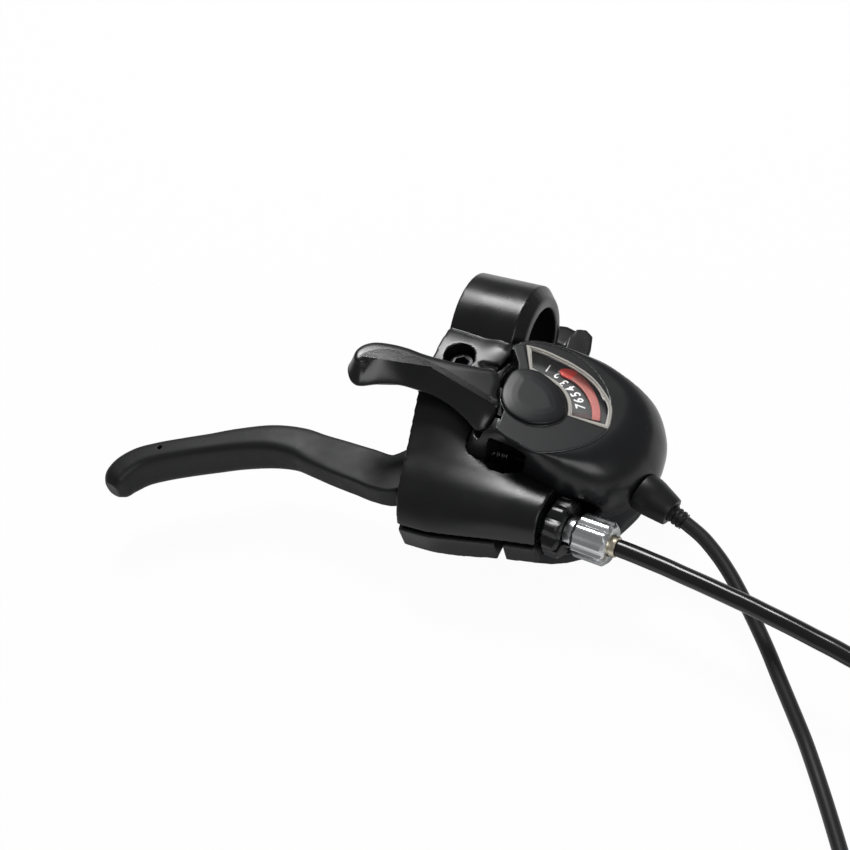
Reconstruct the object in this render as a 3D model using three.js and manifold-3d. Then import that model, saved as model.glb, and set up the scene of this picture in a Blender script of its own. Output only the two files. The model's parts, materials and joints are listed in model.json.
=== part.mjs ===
import * as THREE from "three";
import { mergeVertices } from "three/addons/utils/BufferGeometryUtils.js";
import Module from "manifold-3d";

const wasm = await Module();
wasm.setup();

// The origin is the centre of the handlebar clamp, +X runs along the bar towards the stem,
// +Y points to the rider and +Z stands square to the plane the brake lever swings in.

// Shared clearances and facet counts
const seatGap = 0.3;
const runGap = 0.4;
const cutReach = 2;
const roomShare = 1.025;
const fineSides = 40;
const mediumSides = 24;
const smallSides = 12;
const wireSides = 8;

// Handlebar clamp
const barRadius = 11.1;
const boreClearance = 0.05;
const collarRadius = 17.5;
const collarLeft = -10;
const collarRight = 10;
const chamferLength = 3;
const chamferDrop = 3.2;
const barRoom = 12.1;

// Clamp bolt, its lug and the slit it closes
const boltX = -2.5;
const boltY = -21;
const boltHeadTop = 10.5;
const boltHeadRadius = 4.1;
const boltHeadHeight = 4.6;
const boltShankRadius = 2.5;
const boltEnd = -16.4;
const boltHexRadius = 2.3;
const boltHexDepth = 2.6;
const slitTop = -5.1;
const slitHeight = 1.5;
const lugFront = -26;
const lugHalf = 7;
const lugBottom = -15;
const nutRadius = 4.3;
const nutHeight = 4;

// Brake lever
const leverZ = -7.6;
const leverThickness = 8.4;
const pivotX = 2;
const pivotY = -31;
const pivotHubRadius = 6.2;
const pivotPinRadius = 2.5;
const pivotHeadRadius = 4;
const pivotHeadHeight = 1.4;
const pivotRise = 2.6;
const leverSpan = 100;
const leverSectionSides = 14;
// Centre line of the lever from the pivot, then its width and its height, in shares of the span.
const leverShares = [
  [-0.01, -0.02, 0.11, 0.084, 0.9],
  [-0.035, -0.1, 0.128, 0.084, 0.9],
  [-0.075, -0.188, 0.142, 0.084, 0.9],
  [-0.145, -0.242, 0.134, 0.084, 0.86],
  [-0.24, -0.239, 0.128, 0.085, 0.82],
  [-0.33, -0.233, 0.122, 0.087, 0.78],
  [-0.4, -0.227, 0.116, 0.092, 0.66],
  [-0.46, -0.222, 0.11, 0.108, 0.56],
  [-0.544, -0.236, 0.101, 0.126, 0.5],
  [-0.645, -0.277, 0.088, 0.13, 0.5],
  [-0.716, -0.315, 0.081, 0.13, 0.5],
  [-0.79, -0.354, 0.078, 0.13, 0.5],
  [-0.862, -0.395, 0.079, 0.128, 0.5],
  [-0.914, -0.433, 0.084, 0.124, 0.46],
  [-0.945, -0.478, 0.087, 0.116, 0.4],
  [-0.955, -0.518, 0.075, 0.098, 0.34],
  [-0.958, -0.537, 0.048, 0.064, 0.3],
];
const nippleX = -2;
const nippleY = -53.6;
const nippleLugRadius = 6;
const nippleRadius = 3.2;
const nippleLength = 6.6;
const stopX = 5.4;
const stopY = -39.2;
const stopRadius = 3.6;
const tipHoleX = -83.6;
const tipHoleY = -69.6;
const tipHoleRadius = 0.8;
const leverRoom = 0.6;

// Bracket body. Section outlines are shares of its reach from the bar to the nose.
const bracketReach = 70;
const bracketLeft = -10;
const bracketRight = 36;
const leftShear = 6;
const rightShear = 3;
const shearStart = -35;
const armBottom = -18.4;
const sectionRings = 3;
const sectionShares = [
  [0, [-0.985, -0.249], [-0.997, -0.12], [-0.985, -0.07], [-0.935, 0.004], [-0.855, 0.046], [-0.74, 0.078], [-0.61, 0.122], [-0.485, 0.168], [-0.32, 0.2], [-0.2, 0.2], [-0.09, 0.17], [-0.08, -0.04], [-0.35, -0.07], [-0.35, -0.249]],
  [0.22, [-0.985, -0.249], [-0.995, -0.12], [-0.98, -0.066], [-0.93, 0.006], [-0.85, 0.046], [-0.74, 0.074], [-0.61, 0.112], [-0.485, 0.154], [-0.32, 0.19], [-0.2, 0.19], [-0.09, 0.16], [-0.08, -0.04], [-0.35, -0.07], [-0.35, -0.249]],
  [0.46, [-0.965, -0.249], [-0.972, -0.12], [-0.96, -0.064], [-0.915, 0.008], [-0.845, 0.045], [-0.74, 0.066], [-0.61, 0.084], [-0.485, 0.12], [-0.32, 0.16], [-0.2, 0.17], [-0.16, 0.12], [-0.15, -0.04], [-0.35, -0.07], [-0.35, -0.249]],
  [0.7, [-0.94, -0.236], [-0.945, -0.12], [-0.935, -0.064], [-0.9, 0.004], [-0.835, 0.04], [-0.75, 0.05], [-0.67, 0.046], [-0.6, 0.03], [-0.54, 0.01], [-0.5, -0.02], [-0.48, -0.05], [-0.475, -0.08], [-0.475, -0.12], [-0.49, -0.236]],
  [1, [-0.915, -0.222], [-0.918, -0.13], [-0.91, -0.075], [-0.875, -0.004], [-0.82, 0.03], [-0.76, 0.034], [-0.71, 0.022], [-0.665, 0.004], [-0.635, -0.02], [-0.615, -0.05], [-0.605, -0.08], [-0.603, -0.11], [-0.605, -0.14], [-0.615, -0.222]],
];
const frontWall = 3;
const cavityBack = -23.8;
const cavityRight = 10.2;
const slotHalf = 0.9;
const wireChannel = 2.2;
const armNotchX = 24.6;
const armNotchWidth = 2.4;

// Reach screw in its leaf-shaped pocket
const screwY = -39.4;
const screwZ = -3.6;
const screwTipX = 9.6;
const screwHeadX = 19.2;
const screwRadius = 2.35;
const screwCoreRadius = 1.75;
const screwThreads = 5;
const crossLength = 2.9;
const crossWidth = 0.8;
const crossDepth = 1.3;

// Barrel adjuster, lock ring and brake casing
const adjusterX = 36;
const adjusterY = -55;
const adjusterTurn = -4.6;
const threadRadius = 3.1;
const threadDepth = 9;
const ringStart = 2.6;
const ringLength = 4.8;
const ringRadius = 8.7;
const ringRootRadius = 7.5;
const ringLobes = 9;
const neckRadius = 4.7;
const neckLength = 2.6;
const barrelStart = 9.9;
const barrelLength = 11;
const barrelRadius = 6.5;
const barrelRootRadius = 5.7;
const barrelFlutes = 10;
const barrelBoreRadius = 3.3;
const barrelBoreDepth = 5.4;
const ferruleRadius = 3;
const ferruleLip = 1.7;
const casingRadius = 2.5;
const casingEndRadius = 3;
const casingEndLength = 7;
const wireRadius = 0.8;
// Points of the brake casing's centre line after the ferrule.
const brakeRoute = [
  [63.8, -57.4, -7.6], [68.8, -58.1, -7.6], [73.7, -58.8, -7.6], [78.7, -59.7, -7.6], [83.6, -60.5, -7.6],
  [88.6, -61.4, -7.6], [93.5, -62.3, -7.6], [98.4, -63.2, -7.6], [103.4, -64.3, -7.6], [108.3, -65.4, -7.5],
  [113.1, -66.5, -7.5], [118, -67.7, -7.5], [122.9, -68.9, -7.4], [127.7, -70.2, -7.4], [132.6, -71.4, -7.3],
];

// Shift unit frame: its axis leans inboard and a little to the rider
const unitX = 26;
const unitY = -31.9;
const unitZ = 14.2;
const unitLean = 14;
const unitTip = -2;

// Dome housing. Angles run round the axis from the unit's own +X, radii are shares of the pod's reach.
const podReach = 40;
const domeHeight = 16;
const domeWall = 2;
const domeLevels = 5;
const domeOutline = 48;
const rimShares = [
  [-150, 0.3], [-120, 0.34], [-100, 0.348], [-88, 0.348], [-67, 0.395], [-40, 0.436], [-19, 0.49], [-4, 0.54], [12, 0.6],
  [31, 0.655], [56, 0.6], [75, 0.575], [95, 0.565], [122, 0.565], [140, 0.46], [160, 0.36], [185, 0.33],
];
const skirtShares = [
  [-150, 0.42], [-133, 0.49], [-122, 0.46], [-112, 0.4], [-100, 0.36], [-88, 0.36], [-72, 0.41], [-60, 0.48], [-45, 0.61],
  [-23, 0.84], [0, 0.97], [12, 1], [22, 1], [38, 0.95], [56, 0.84], [75, 0.69], [95, 0.6], [118, 0.575], [140, 0.48],
  [175, 0.375],
];

// Bottom cover: radii at its top, middle and bottom
const coverTop = -16.4;
const coverBottom = -34;
const coverWall = 1.8;
const coverTopShares = [
  [-150, 0.16], [-120, 0.2], [-90, 0.32], [-68, 0.42], [-45, 0.62], [-30, 0.77], [-12, 0.88], [5, 0.97], [22, 0.97], [45, 0.84],
  [68, 0.66], [95, 0.5], [125, 0.34], [165, 0.2],
];
const coverWaistShares = [
  [-150, 0.16], [-120, 0.2], [-90, 0.34], [-68, 0.46], [-45, 0.7], [-30, 0.82], [-12, 0.9], [5, 0.97], [22, 0.96], [45, 0.84],
  [68, 0.68], [95, 0.52], [125, 0.34], [165, 0.2],
];
const coverFootShares = [
  [-150, 0.2], [-120, 0.36], [-90, 0.62], [-68, 0.78], [-45, 0.86], [-30, 0.88], [-12, 0.9], [5, 0.95], [22, 0.92], [45, 0.8],
  [68, 0.66], [95, 0.5], [125, 0.36], [165, 0.24],
];

// Indicator window
const lensInner = 10.2;
const lensOuter = 21.3;
const lensFrom = 5;
const lensTo = 118;
const lensThickness = 1.8;
const bezelWidth = 0.9;
const arcStep = 6;
const dialDepth = 4.2;
const dialInner = 6.2;
const dialOverlap = 12;
const dialThickness = 0.6;
const needleDepth = 3.2;
const needleThickness = 0.6;
const needleInner = 16.4;
const needleOuter = 19;
const needleFrom = 16;
const needleTo = 74;
const needleTipReach = 3.4;
const needleTipAngle = 82;
const needleArmInner = 3.4;
const bossRadius = 9.3;
const bossRise = 1.5;
const panelThickness = 1.9;
const panelShares = [
  [-152, 0.27], [-120, 0.3], [-100, 0.332], [-88, 0.332], [-67, 0.37], [-40, 0.402], [-19, 0.456], [-4, 0.506], [2, 0.522],
];

// Pocket between the hood and the pod that gives a driver its way to the reach screw
const pocketCeiling = -3.4;
const pocketStep = -16.2;
const pocketBase = -22.4;
const pocketWall = 1;
const pocketCentre = [-0.6, -11.6];
const pocketShares = [
  [-0.19, -0.39], [-0.125, -0.44], [-0.02, -0.44], [0.08, -0.39], [0.155, -0.335], [0.12, -0.24], [0.05, -0.188],
  [-0.05, -0.182], [-0.15, -0.21], [-0.195, -0.3],
];
const pocketDeepShares = [
  [-0.2, -0.39], [-0.02, -0.43], [0.155, -0.33], [0.18, -0.22], [0.11, -0.1], [-0.2, -0.1],
];

// Ratchet parts on the main axle
const axleRadius = 2.6;
const axleTop = -1.4;
const axleHeadRadius = 4.2;
const axleHeadHeight = 1.2;
const axleEnd = -33.6;
const axleNutRadius = 5;
const axleNutHeight = 2.4;
const spoolTop = -7.2;
const spoolRadius = 11.4;
const spoolGrooveRadius = 7.2;
const spoolHubRadius = 5;
const spoolFrom = 4;
const spoolTo = 164;
const flangeHeight = 0.9;
const grooveHeight = 2.7;
const toothHeight = 1.8;
const toothStep = 10.4;
const toothRise = 1.5;
const driveTop = -13.9;
const driveThickness = 0.9;
const driveHubRadius = 5;
const plateTop = -15.1;
const plateThickness = 0.9;
const plateRadius = 16;
const pawlThickness = 1.6;
const pawlPinRadius = 1.2;
const pawlBossRadius = 2.5;
const holdPinAt = [16.4, -6];
const holdNoseAt = [12.2, 16];
const drivePinAt = [16.2, 62];
const driveNoseAt = [12.2, 84];
const pawlNoseRadius = 0.5;
const springWire = 0.4;
const thumbSpringRadius = 4.2;
const thumbSpringTurns = 2.5;
const thumbSpringTop = -24.5;
const thumbSpringPitch = 0.95;
const leverSpringRadius = 4.2;
const leverSpringTop = -13.1;
const leverSpringWire = 0.5;
const leverSpringPitch = 1.05;
const leverSpringTurns = 2.5;

// Screws that hold the bottom cover to the housing, on radius and angle
const coverScrewAt = [[25.6, 36], [22, -18], [30, 12]];
const screwBossRadius = 2.8;
const screwShank = 1.1;
const screwHead = 2.2;
const screwHeadDrop = 0.5;
const screwHeadHeight = 1.6;
const screwSlotDepth = 0.8;
const screwEnd = -8;
const bossStart = -1.5;

// Shift wire: where it leaves the spool and how far it is wound
const shiftWireRadius = 0.6;
const shiftWireFrom = 72;
const shiftWireTo = 138;
const shiftNippleRadius = 1.6;

// Release lever above the bracket
const releaseTop = 0.6;
const releaseBottom = -6.2;
const releaseSpan = 53;
const releaseBackShares = [
  [-0.985, -0.12], [-1, -0.06], [-0.985, 0.0], [-0.93, 0.03], [-0.85, 0.045], [-0.735, 0.075], [-0.6, 0.098],
  [-0.445, 0.115], [-0.3, 0.165], [-0.245, 0.13],
];
const releaseFrontShares = [
  [-0.135, -0.19], [-0.2, -0.268], [-0.29, -0.245], [-0.4, -0.185], [-0.5, -0.15], [-0.62, -0.155], [-0.745, -0.185],
  [-0.86, -0.225], [-0.94, -0.225],
];
const releaseArc = 11.2;
const releaseArcFrom = 158;
const releaseArcTo = 216;
const releaseHubRadius = 5.4;
const releaseHubTop = -4.9;
const releaseHubThickness = 1.5;
const releaseStroke = 12;
const releaseEdge = 1.7;

// Thumb lever below the bar
const thumbTop = -27.8;
const thumbThickness = 2.6;
const thumbHubRadius = 5.6;
const thumbSpan = 55;
const thumbShares = [
  [0.09, 0], [0.085, 0.3], [0.075, 0.55], [0.065, 0.72], [0.055, 0.86], [0.03, 0.95], [-0.02, 0.98], [-0.07, 0.96],
  [-0.09, 0.88], [-0.075, 0.76], [-0.065, 0.6], [-0.075, 0.3], [-0.09, 0],
];
const thumbPadShares = [
  [0.05, 0.88], [0.03, 0.955], [-0.04, 1], [-0.14, 1.01], [-0.23, 0.98], [-0.25, 0.93], [-0.23, 0.88], [-0.14, 0.85], [-0.02, 0.83],
  [0.03, 0.84],
];
const thumbEdge = 1.3;
const thumbPadTop = -31.2;
const thumbPadBottom = -36.6;
const thumbStroke = 34;

// Cable outlet, sleeve and shift casing
const outletTurn = -17.6;
const outletA = 38.6;
const outletB = -4.6;
const outletW = -13.6;
const outletLength = 8.4;
const outletBaseRadius = 5.3;
const outletEndRadius = 4.5;
const outletStub = 2;
const outletBore = 2.9;
const outletBoreDepth = 4;
const sleeveRadius = 2.6;
const sleeveNotch = 2.3;
const sleeveLength = 8;
const sleeveGrooves = 3;
const shiftCasingRadius = 2.05;
const shiftEndRadius = 2.5;
const shiftRoute = [
  [78, -43.2, -12.5], [83.3, -46.5, -14], [88.1, -50.4, -15.2], [92.6, -54.8, -16.3], [97, -59.4, -17.5],
  [101.2, -64, -18.7], [105.3, -68.8, -19.7], [109.2, -73.7, -20.7], [113.2, -78.6, -21.8], [117.2, -83.5, -22.9],
  [121.1, -88.4, -23.9], [124.8, -93.6, -24.5], [128.4, -98.9, -24.9], [131.9, -104.2, -25.3], [135.3, -109.5, -25.7],
  [138.7, -114.9, -26.1], [142, -120.4, -26.4],
];
const railSteps = 32;

// Geometry helpers
const radians = THREE.MathUtils.degToRad;

function bare(geometry) {
  const plain = geometry.index ? geometry.toNonIndexed() : geometry.clone();
  plain.deleteAttribute("normal");
  plain.deleteAttribute("uv");
  return mergeVertices(plain);
}

function signedVolume(geometry) {
  const place = geometry.attributes.position;
  const index = geometry.index;
  const a = new THREE.Vector3();
  const b = new THREE.Vector3();
  const c = new THREE.Vector3();
  let total = 0;
  for (let i = 0; i < index.count; i += 3) {
    a.fromBufferAttribute(place, index.getX(i));
    b.fromBufferAttribute(place, index.getX(i + 1));
    c.fromBufferAttribute(place, index.getX(i + 2));
    total += a.dot(b.cross(c));
  }
  return total;
}

// A closed surface with its faces pointing outwards.
function outward(geometry) {
  const merged = bare(geometry);
  if (signedVolume(merged) < 0) {
    const index = merged.index;
    for (let i = 0; i < index.count; i += 3) {
      const first = index.getX(i);
      index.setX(i, index.getX(i + 1));
      index.setX(i + 1, first);
    }
  }
  return merged;
}

function solidOf(geometry) {
  const merged = outward(geometry);
  return new wasm.Manifold(
    new wasm.Mesh({
      numProp: 3,
      vertProperties: merged.attributes.position.array,
      triVerts: new Uint32Array(merged.index.array),
    }),
  );
}

function geometryOf(solid) {
  const mesh = solid.getMesh();
  const geometry = new THREE.BufferGeometry();
  geometry.setAttribute("position", new THREE.BufferAttribute(mesh.vertProperties, 3));
  geometry.setIndex(new THREE.BufferAttribute(mesh.triVerts, 1));
  return geometry;
}

function join(first, ...others) {
  return geometryOf(others.reduce((solid, other) => solid.add(solidOf(other)), solidOf(first)));
}

function cut(first, ...others) {
  return geometryOf(others.reduce((solid, other) => solid.subtract(solidOf(other)), solidOf(first)));
}

function keep(first, other) {
  return geometryOf(solidOf(first).intersect(solidOf(other)));
}

function moved(geometry, x, y, z) {
  return geometry.clone().translate(x, y, z);
}

// A straight prism over a plan outline, from one height to another.
function prism(points, low, high) {
  const shape = new THREE.Shape(points.map(([x, y]) => new THREE.Vector2(x, y)));
  const body = new THREE.ExtrudeGeometry(shape, { depth: high - low, bevelEnabled: false, curveSegments: 1 });
  return body.translate(0, 0, low);
}

function block(lowX, highX, lowY, highY, lowZ, highZ) {
  return prism([[lowX, lowY], [highX, lowY], [highX, highY], [lowX, highY]], lowZ, highZ);
}

// The same with rounded long edges.
function softPrism(points, low, high, soft) {
  const shape = new THREE.Shape(points.map(([x, y]) => new THREE.Vector2(x, y)));
  const body = new THREE.ExtrudeGeometry(shape, {
    depth: high - low - 2 * soft, bevelThickness: soft, bevelSize: soft, bevelOffset: -soft, bevelSegments: 2, curveSegments: 1,
  });
  return body.translate(0, 0, low + soft);
}

// A turned piece about Z; the profile lists radius and height and starts and ends on the axis or closes.
function turned(profile, sides) {
  const body = new THREE.LatheGeometry(profile.map(([r, h]) => new THREE.Vector2(r, h)), sides);
  return body.rotateX(Math.PI / 2);
}

function rod(radius, low, high, sides) {
  return turned([[0, low], [radius, low], [radius, high], [0, high]], sides);
}

function ring(inner, outer, low, high, sides) {
  return turned([[inner, low], [outer, low], [outer, high], [inner, high], [inner, low]], sides);
}

function alongX(geometry) {
  return geometry.clone().rotateY(Math.PI / 2);
}

// A round tube through hand-placed points.
function tube(points, radius, sides, steps) {
  const path = new THREE.CatmullRomCurve3(points.map(([x, y, z]) => new THREE.Vector3(x, y, z)), false, "centripetal");
  const round = new THREE.Shape(
    Array.from({ length: sides }, (_, i) => {
      const turn = (2 * Math.PI * i) / sides;
      return new THREE.Vector2(radius * Math.cos(turn), radius * Math.sin(turn));
    }),
  );
  return new THREE.ExtrudeGeometry(round, { steps, bevelEnabled: false, extrudePath: path, curveSegments: 1 });
}

// A skin through equal rings of points, closed at both ends with a fan of facets.
function loft(rings) {
  const count = rings[0].length;
  const places = rings.flat().flatMap((v) => [v.x, v.y, v.z]);
  const faces = [];
  for (let r = 0; r + 1 < rings.length; r += 1) {
    for (let i = 0; i < count; i += 1) {
      const j = (i + 1) % count;
      const a = r * count + i;
      const b = r * count + j;
      faces.push(a, b, a + count, b, b + count, a + count);
    }
  }
  const ends = [0, rings.length - 1];
  ends.forEach((end) => {
    const start = end * count;
    const middle = rings[end].reduce((sum, v) => sum.add(v), new THREE.Vector3()).divideScalar(count);
    const centre = places.length / 3;
    places.push(middle.x, middle.y, middle.z);
    for (let i = 0; i < count; i += 1) {
      const j = (i + 1) % count;
      if (end === 0) faces.push(centre, start + j, start + i);
      else faces.push(centre, start + i, start + j);
    }
  });
  const geometry = new THREE.BufferGeometry();
  geometry.setAttribute("position", new THREE.Float32BufferAttribute(places, 3));
  geometry.setIndex(faces);
  return geometry;
}

// Radius at an angle, eased between neighbouring shares of an outline.
function shareAt(shares, angle) {
  const count = shares.length;
  for (let i = 0; i < count; i += 1) {
    const [a0, r0] = shares[i];
    const [next, r1] = shares[(i + 1) % count];
    const a1 = next > a0 ? next : next + 360;
    const here = angle >= a0 ? angle : angle + 360;
    if (here >= a0 && here <= a1) {
      const before = shares[(i + count - 1) % count][1];
      const after = shares[(i + 2) % count][1];
      const t = (here - a0) / (a1 - a0);
      const bend0 = (r1 - before) / 2;
      const bend1 = (after - r0) / 2;
      const t2 = t * t;
      const t3 = t2 * t;
      return (2 * t3 - 3 * t2 + 1) * r0 + (t3 - 2 * t2 + t) * bend0 + (3 * t2 - 2 * t3) * r1 + (t3 - t2) * bend1;
    }
  }
  return shares[0][1];
}

function polarRing(radiusAt, height) {
  return Array.from({ length: domeOutline }, (_, i) => {
    const angle = -180 + (360 * i) / domeOutline;
    const radius = radiusAt(angle);
    return new THREE.Vector3(radius * Math.cos(radians(angle)), radius * Math.sin(radians(angle)), height);
  });
}

// A flat ring sector between two radii and two angles.
function sector(inner, outer, from, to, low, high) {
  const steps = Math.ceil((to - from) / arcStep);
  const angles = Array.from({ length: steps + 1 }, (_, i) => radians(from + ((to - from) * i) / steps));
  const outside = angles.map((t) => [outer * Math.cos(t), outer * Math.sin(t)]);
  const inside = angles.map((t) => [inner * Math.cos(t), inner * Math.sin(t)]).reverse();
  return prism([...outside, ...inside], low, high);
}

function spun(shares, span) {
  return shares.map(([x, y]) => [x * span, y * span]);
}

const part = new THREE.Group();
const unit = new THREE.Group();
unit.position.set(unitX, unitY, unitZ);
unit.rotation.set(radians(unitTip), radians(unitLean), 0, "YXZ");
unit.updateMatrix();
const toUnit = unit.matrix.clone().invert();
part.add(unit);

function add(group, name, geometry, colour, roughness, metalness) {
  const flat = geometry.index ? geometry.toNonIndexed() : geometry;
  flat.computeVertexNormals();
  const material = new THREE.MeshStandardMaterial({ color: colour, roughness, metalness });
  const mesh = new THREE.Mesh(flat, material);
  mesh.name = name;
  group.add(mesh);
}

// Outer form of the shift unit, also used to make room for it in the bracket
function domeSolid(grow, low) {
  const rings = [];
  for (let i = 0; i <= domeLevels; i += 1) {
    const t = (i / domeLevels) ** 2;
    const bulge = Math.sqrt(1 - (1 - t) * (1 - t));
    const height = -t * domeHeight + grow;
    const radius = (angle) => {
      const rim = shareAt(rimShares, angle);
      const skirt = shareAt(skirtShares, angle);
      return podReach * (rim + (skirt - rim) * bulge) + grow;
    };
    rings.push(polarRing(radius, i === domeLevels ? low : height));
  }
  return loft(rings);
}

function coverSolid(grow) {
  const levels = [
    [coverTop + grow, coverTopShares], [coverTop + (coverBottom - coverTop) / 4, coverTopShares],
    [(coverTop + coverBottom) / 2, coverWaistShares], [coverBottom + 6, coverFootShares],
    [coverBottom + 2, coverFootShares], [coverBottom - grow, coverFootShares],
  ];
  const rings = levels.map(([height, shares], i) => {
    const trim = i === levels.length - 1 ? 1.2 : 0;
    return polarRing((angle) => podReach * shareAt(shares, angle) + grow - trim, height);
  });
  return loft(rings);
}

const barRod = alongX(rod(barRadius + boreClearance, -60, 60, fineSides));
const barKeepOut = alongX(rod(barRoom, -90, 90, fineSides));
const collarKeepOut = alongX(
  rod(collarRadius + runGap, collarLeft - 40, collarRight + chamferLength + runGap, fineSides),
);

// Room that the release lever sweeps through
const releaseBack = spun(releaseBackShares, releaseSpan);
const releaseFront = spun(releaseFrontShares, releaseSpan);
const releaseArcPoints = Array.from({ length: 8 }, (_, i) => {
  const angle = radians(releaseArcFrom + ((releaseArcTo - releaseArcFrom) * i) / 7);
  return [releaseArc * Math.cos(angle), releaseArc * Math.sin(angle)];
});
const releaseOutline = [...releaseBack, ...releaseArcPoints, ...releaseFront];

// Bracket: collar, hood, nose and lower arm in one moulding
function bracketRing(share, points) {
  return points.map(([a, b]) => {
    const y = a * bracketReach;
    const z = b * bracketReach;
    const forward = THREE.MathUtils.clamp((shearStart - y) / (bracketReach + shearStart), 0, 1);
    const slant = leftShear * forward * (1 - share) - rightShear * forward * share + rightShear * share;
    return new THREE.Vector3(bracketLeft + (bracketRight - bracketLeft) * share + slant, y, z);
  });
}

function smoothRings() {
  const curves = sectionShares[0].slice(1).map((_, i) => {
    const knots = sectionShares.map((section) => new THREE.Vector3(section[0], ...section[i + 1]));
    return new THREE.CatmullRomCurve3(knots, false, "centripetal");
  });
  const count = (sectionShares.length - 1) * sectionRings;
  return Array.from({ length: count + 1 }, (_, r) => {
    const knots = curves.map((curve) => curve.getPoint(r / count));
    const share = knots.reduce((sum, v) => sum + v.x, 0) / knots.length;
    const outline = new THREE.CatmullRomCurve3(
      knots.slice(0, 11).map((v) => new THREE.Vector3(0, v.y, v.z)), false, "centripetal",
    );
    const top = outline.getPoints(22).map((v) => [v.y, v.z]);
    const rest = knots.slice(11).map((v) => [v.y, v.z]);
    return bracketRing(share, [...top, ...rest]);
  });
}

const collar = alongX(
  turned(
    [
      [0, collarLeft], [collarRadius, collarLeft], [collarRadius, collarRight],
      [collarRadius - chamferDrop, collarRight + chamferLength], [0, collarRight + chamferLength],
    ],
    fineSides,
  ),
);
const lug = block(boltX - lugHalf, boltX + lugHalf, lugFront, -8, lugBottom, slitTop - slitHeight);
const leverLow = leverZ - leverThickness / 2;
const leverHigh = leverZ + leverThickness / 2;
const cavity = prism(
  [
    [bracketLeft - cutReach, -bracketReach + frontWall], [cavityRight - 6, -bracketReach + frontWall + 1],
    [cavityRight + 4, -58.4], [cavityRight + 4, -51], [cavityRight, -48], [cavityRight, cavityBack],
    [pivotX - 9, cavityBack], [bracketLeft - cutReach, -36],
  ],
  leverLow - leverRoom,
  leverHigh + leverRoom,
);
const wireSlot = prism(
  [
    [bracketLeft - cutReach, -80], [bracketRight + 8, -80], [bracketRight + 8, adjusterY],
    [bracketLeft - cutReach, nippleY],
  ],
  leverZ - slotHalf,
  leverZ + slotHalf,
);
const adjusterMatrix = new THREE.Matrix4()
  .makeTranslation(adjusterX, adjusterY, leverZ)
  .multiply(new THREE.Matrix4().makeRotationZ(radians(adjusterTurn)));

function onAdjuster(geometry) {
  return geometry.clone().applyMatrix4(adjusterMatrix);
}

const pocketOutline = pocketShares.map(([x, y]) => [x * podReach, y * podReach]);
const pocketDeepOutline = pocketDeepShares.map(([x, y]) => [x * podReach, y * podReach]);

// The pocket grown by a wall, as two prisms one above the other.
function pocketSolid(wall) {
  const grow = ([x, y]) => {
    const reach = Math.hypot(x - pocketCentre[0], y - pocketCentre[1]);
    return [x + ((x - pocketCentre[0]) * wall) / reach, y + ((y - pocketCentre[1]) * wall) / reach];
  };
  return join(
    prism(pocketOutline.map(grow), pocketStep - cutReach, pocketCeiling + wall),
    prism(pocketDeepOutline.map(grow), pocketBase - wall, pocketStep + wall),
  );
}

const unitRoom = join(domeSolid(seatGap, coverTop - seatGap), coverSolid(seatGap));
const releaseRoom = (() => {
  const grown = releaseOutline.map(([x, y]) => [x * roomShare, y * roomShare]);
  const low = prism(grown, releaseBottom - runGap, releaseTop + 30);
  const swung = low.clone().rotateZ(radians(-releaseStroke));
  const half = low.clone().rotateZ(radians(-releaseStroke / 2));
  return join(low, half, swung);
})();

let bracket = join(loft(smoothRings()), collar, lug);
bracket = cut(
  bracket,
  barRod,
  cavity,
  wireSlot,
  block(-30, collarRight + 20, lugFront - 0.8, 0, slitTop - slitHeight, slitTop),
  block(-30, boltX - lugHalf, lugFront - 0.8, -17.6, -40, slitTop),
  block(armNotchX, armNotchX + armNotchWidth, -80, -60, -40, leverZ),
  moved(rod(boltShankRadius + runGap, -40, 40, smallSides), boltX, boltY, 0),
  moved(rod(boltHeadRadius + runGap, boltHeadTop - boltHeadHeight - seatGap, 40, mediumSides), boltX, boltY, 0),
  moved(rod(nutRadius + runGap, -40, lugBottom + nutHeight / 2, 6), boltX, boltY, 0),
  moved(rod(pivotPinRadius + seatGap, armBottom - cutReach, leverHigh + pivotRise, smallSides), pivotX, pivotY, 0),
  moved(rod(pivotHeadRadius + seatGap, armBottom - cutReach, armBottom + pivotHeadHeight, smallSides), pivotX, pivotY, 0),
  moved(rod(leverSpringRadius + 1.4, leverSpringTop - 3.5, leverLow, mediumSides), pivotX, pivotY, 0),
  moved(alongX(rod(screwRadius + seatGap, screwTipX - 3, screwHeadX + 3, smallSides)), 0, screwY, screwZ),
  pocketSolid(0).applyMatrix4(unit.matrix),
  onAdjuster(alongX(rod(threadRadius + seatGap, -threadDepth - seatGap, 10, smallSides))),
  onAdjuster(alongX(rod(wireChannel, -40, 0, smallSides))),
  onAdjuster(alongX(rod(ringRadius + 1, ringStart - seatGap, 30, mediumSides))),
  unitRoom.clone().applyMatrix4(unit.matrix),
  releaseRoom.clone().applyMatrix4(unit.matrix),
);
add(part, "bracket", bracket, 0x17181a, 0.42, 0.05);

// Clamp bolt and its nut
const boltBody = cut(
  turned(
    [
      [0, boltEnd], [boltShankRadius, boltEnd], [boltShankRadius, boltHeadTop - boltHeadHeight],
      [boltHeadRadius, boltHeadTop - boltHeadHeight], [boltHeadRadius, boltHeadTop - 0.6],
      [boltHeadRadius - 0.6, boltHeadTop], [0, boltHeadTop],
    ],
    mediumSides,
  ),
  rod(boltHexRadius, boltHeadTop - boltHexDepth, boltHeadTop + cutReach, 6),
);
add(part, "clamp_bolt", moved(boltBody, boltX, boltY, 0), 0x1c1c1e, 0.35, 0.8);
const nut = cut(
  rod(nutRadius, lugBottom - nutHeight / 2, lugBottom + nutHeight / 2 - seatGap, 6),
  rod(boltShankRadius + seatGap / 2, lugBottom - nutHeight, lugBottom + nutHeight, smallSides),
);
add(part, "clamp_nut", moved(nut, boltX, boltY, 0), 0x8d9093, 0.35, 0.9);

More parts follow.
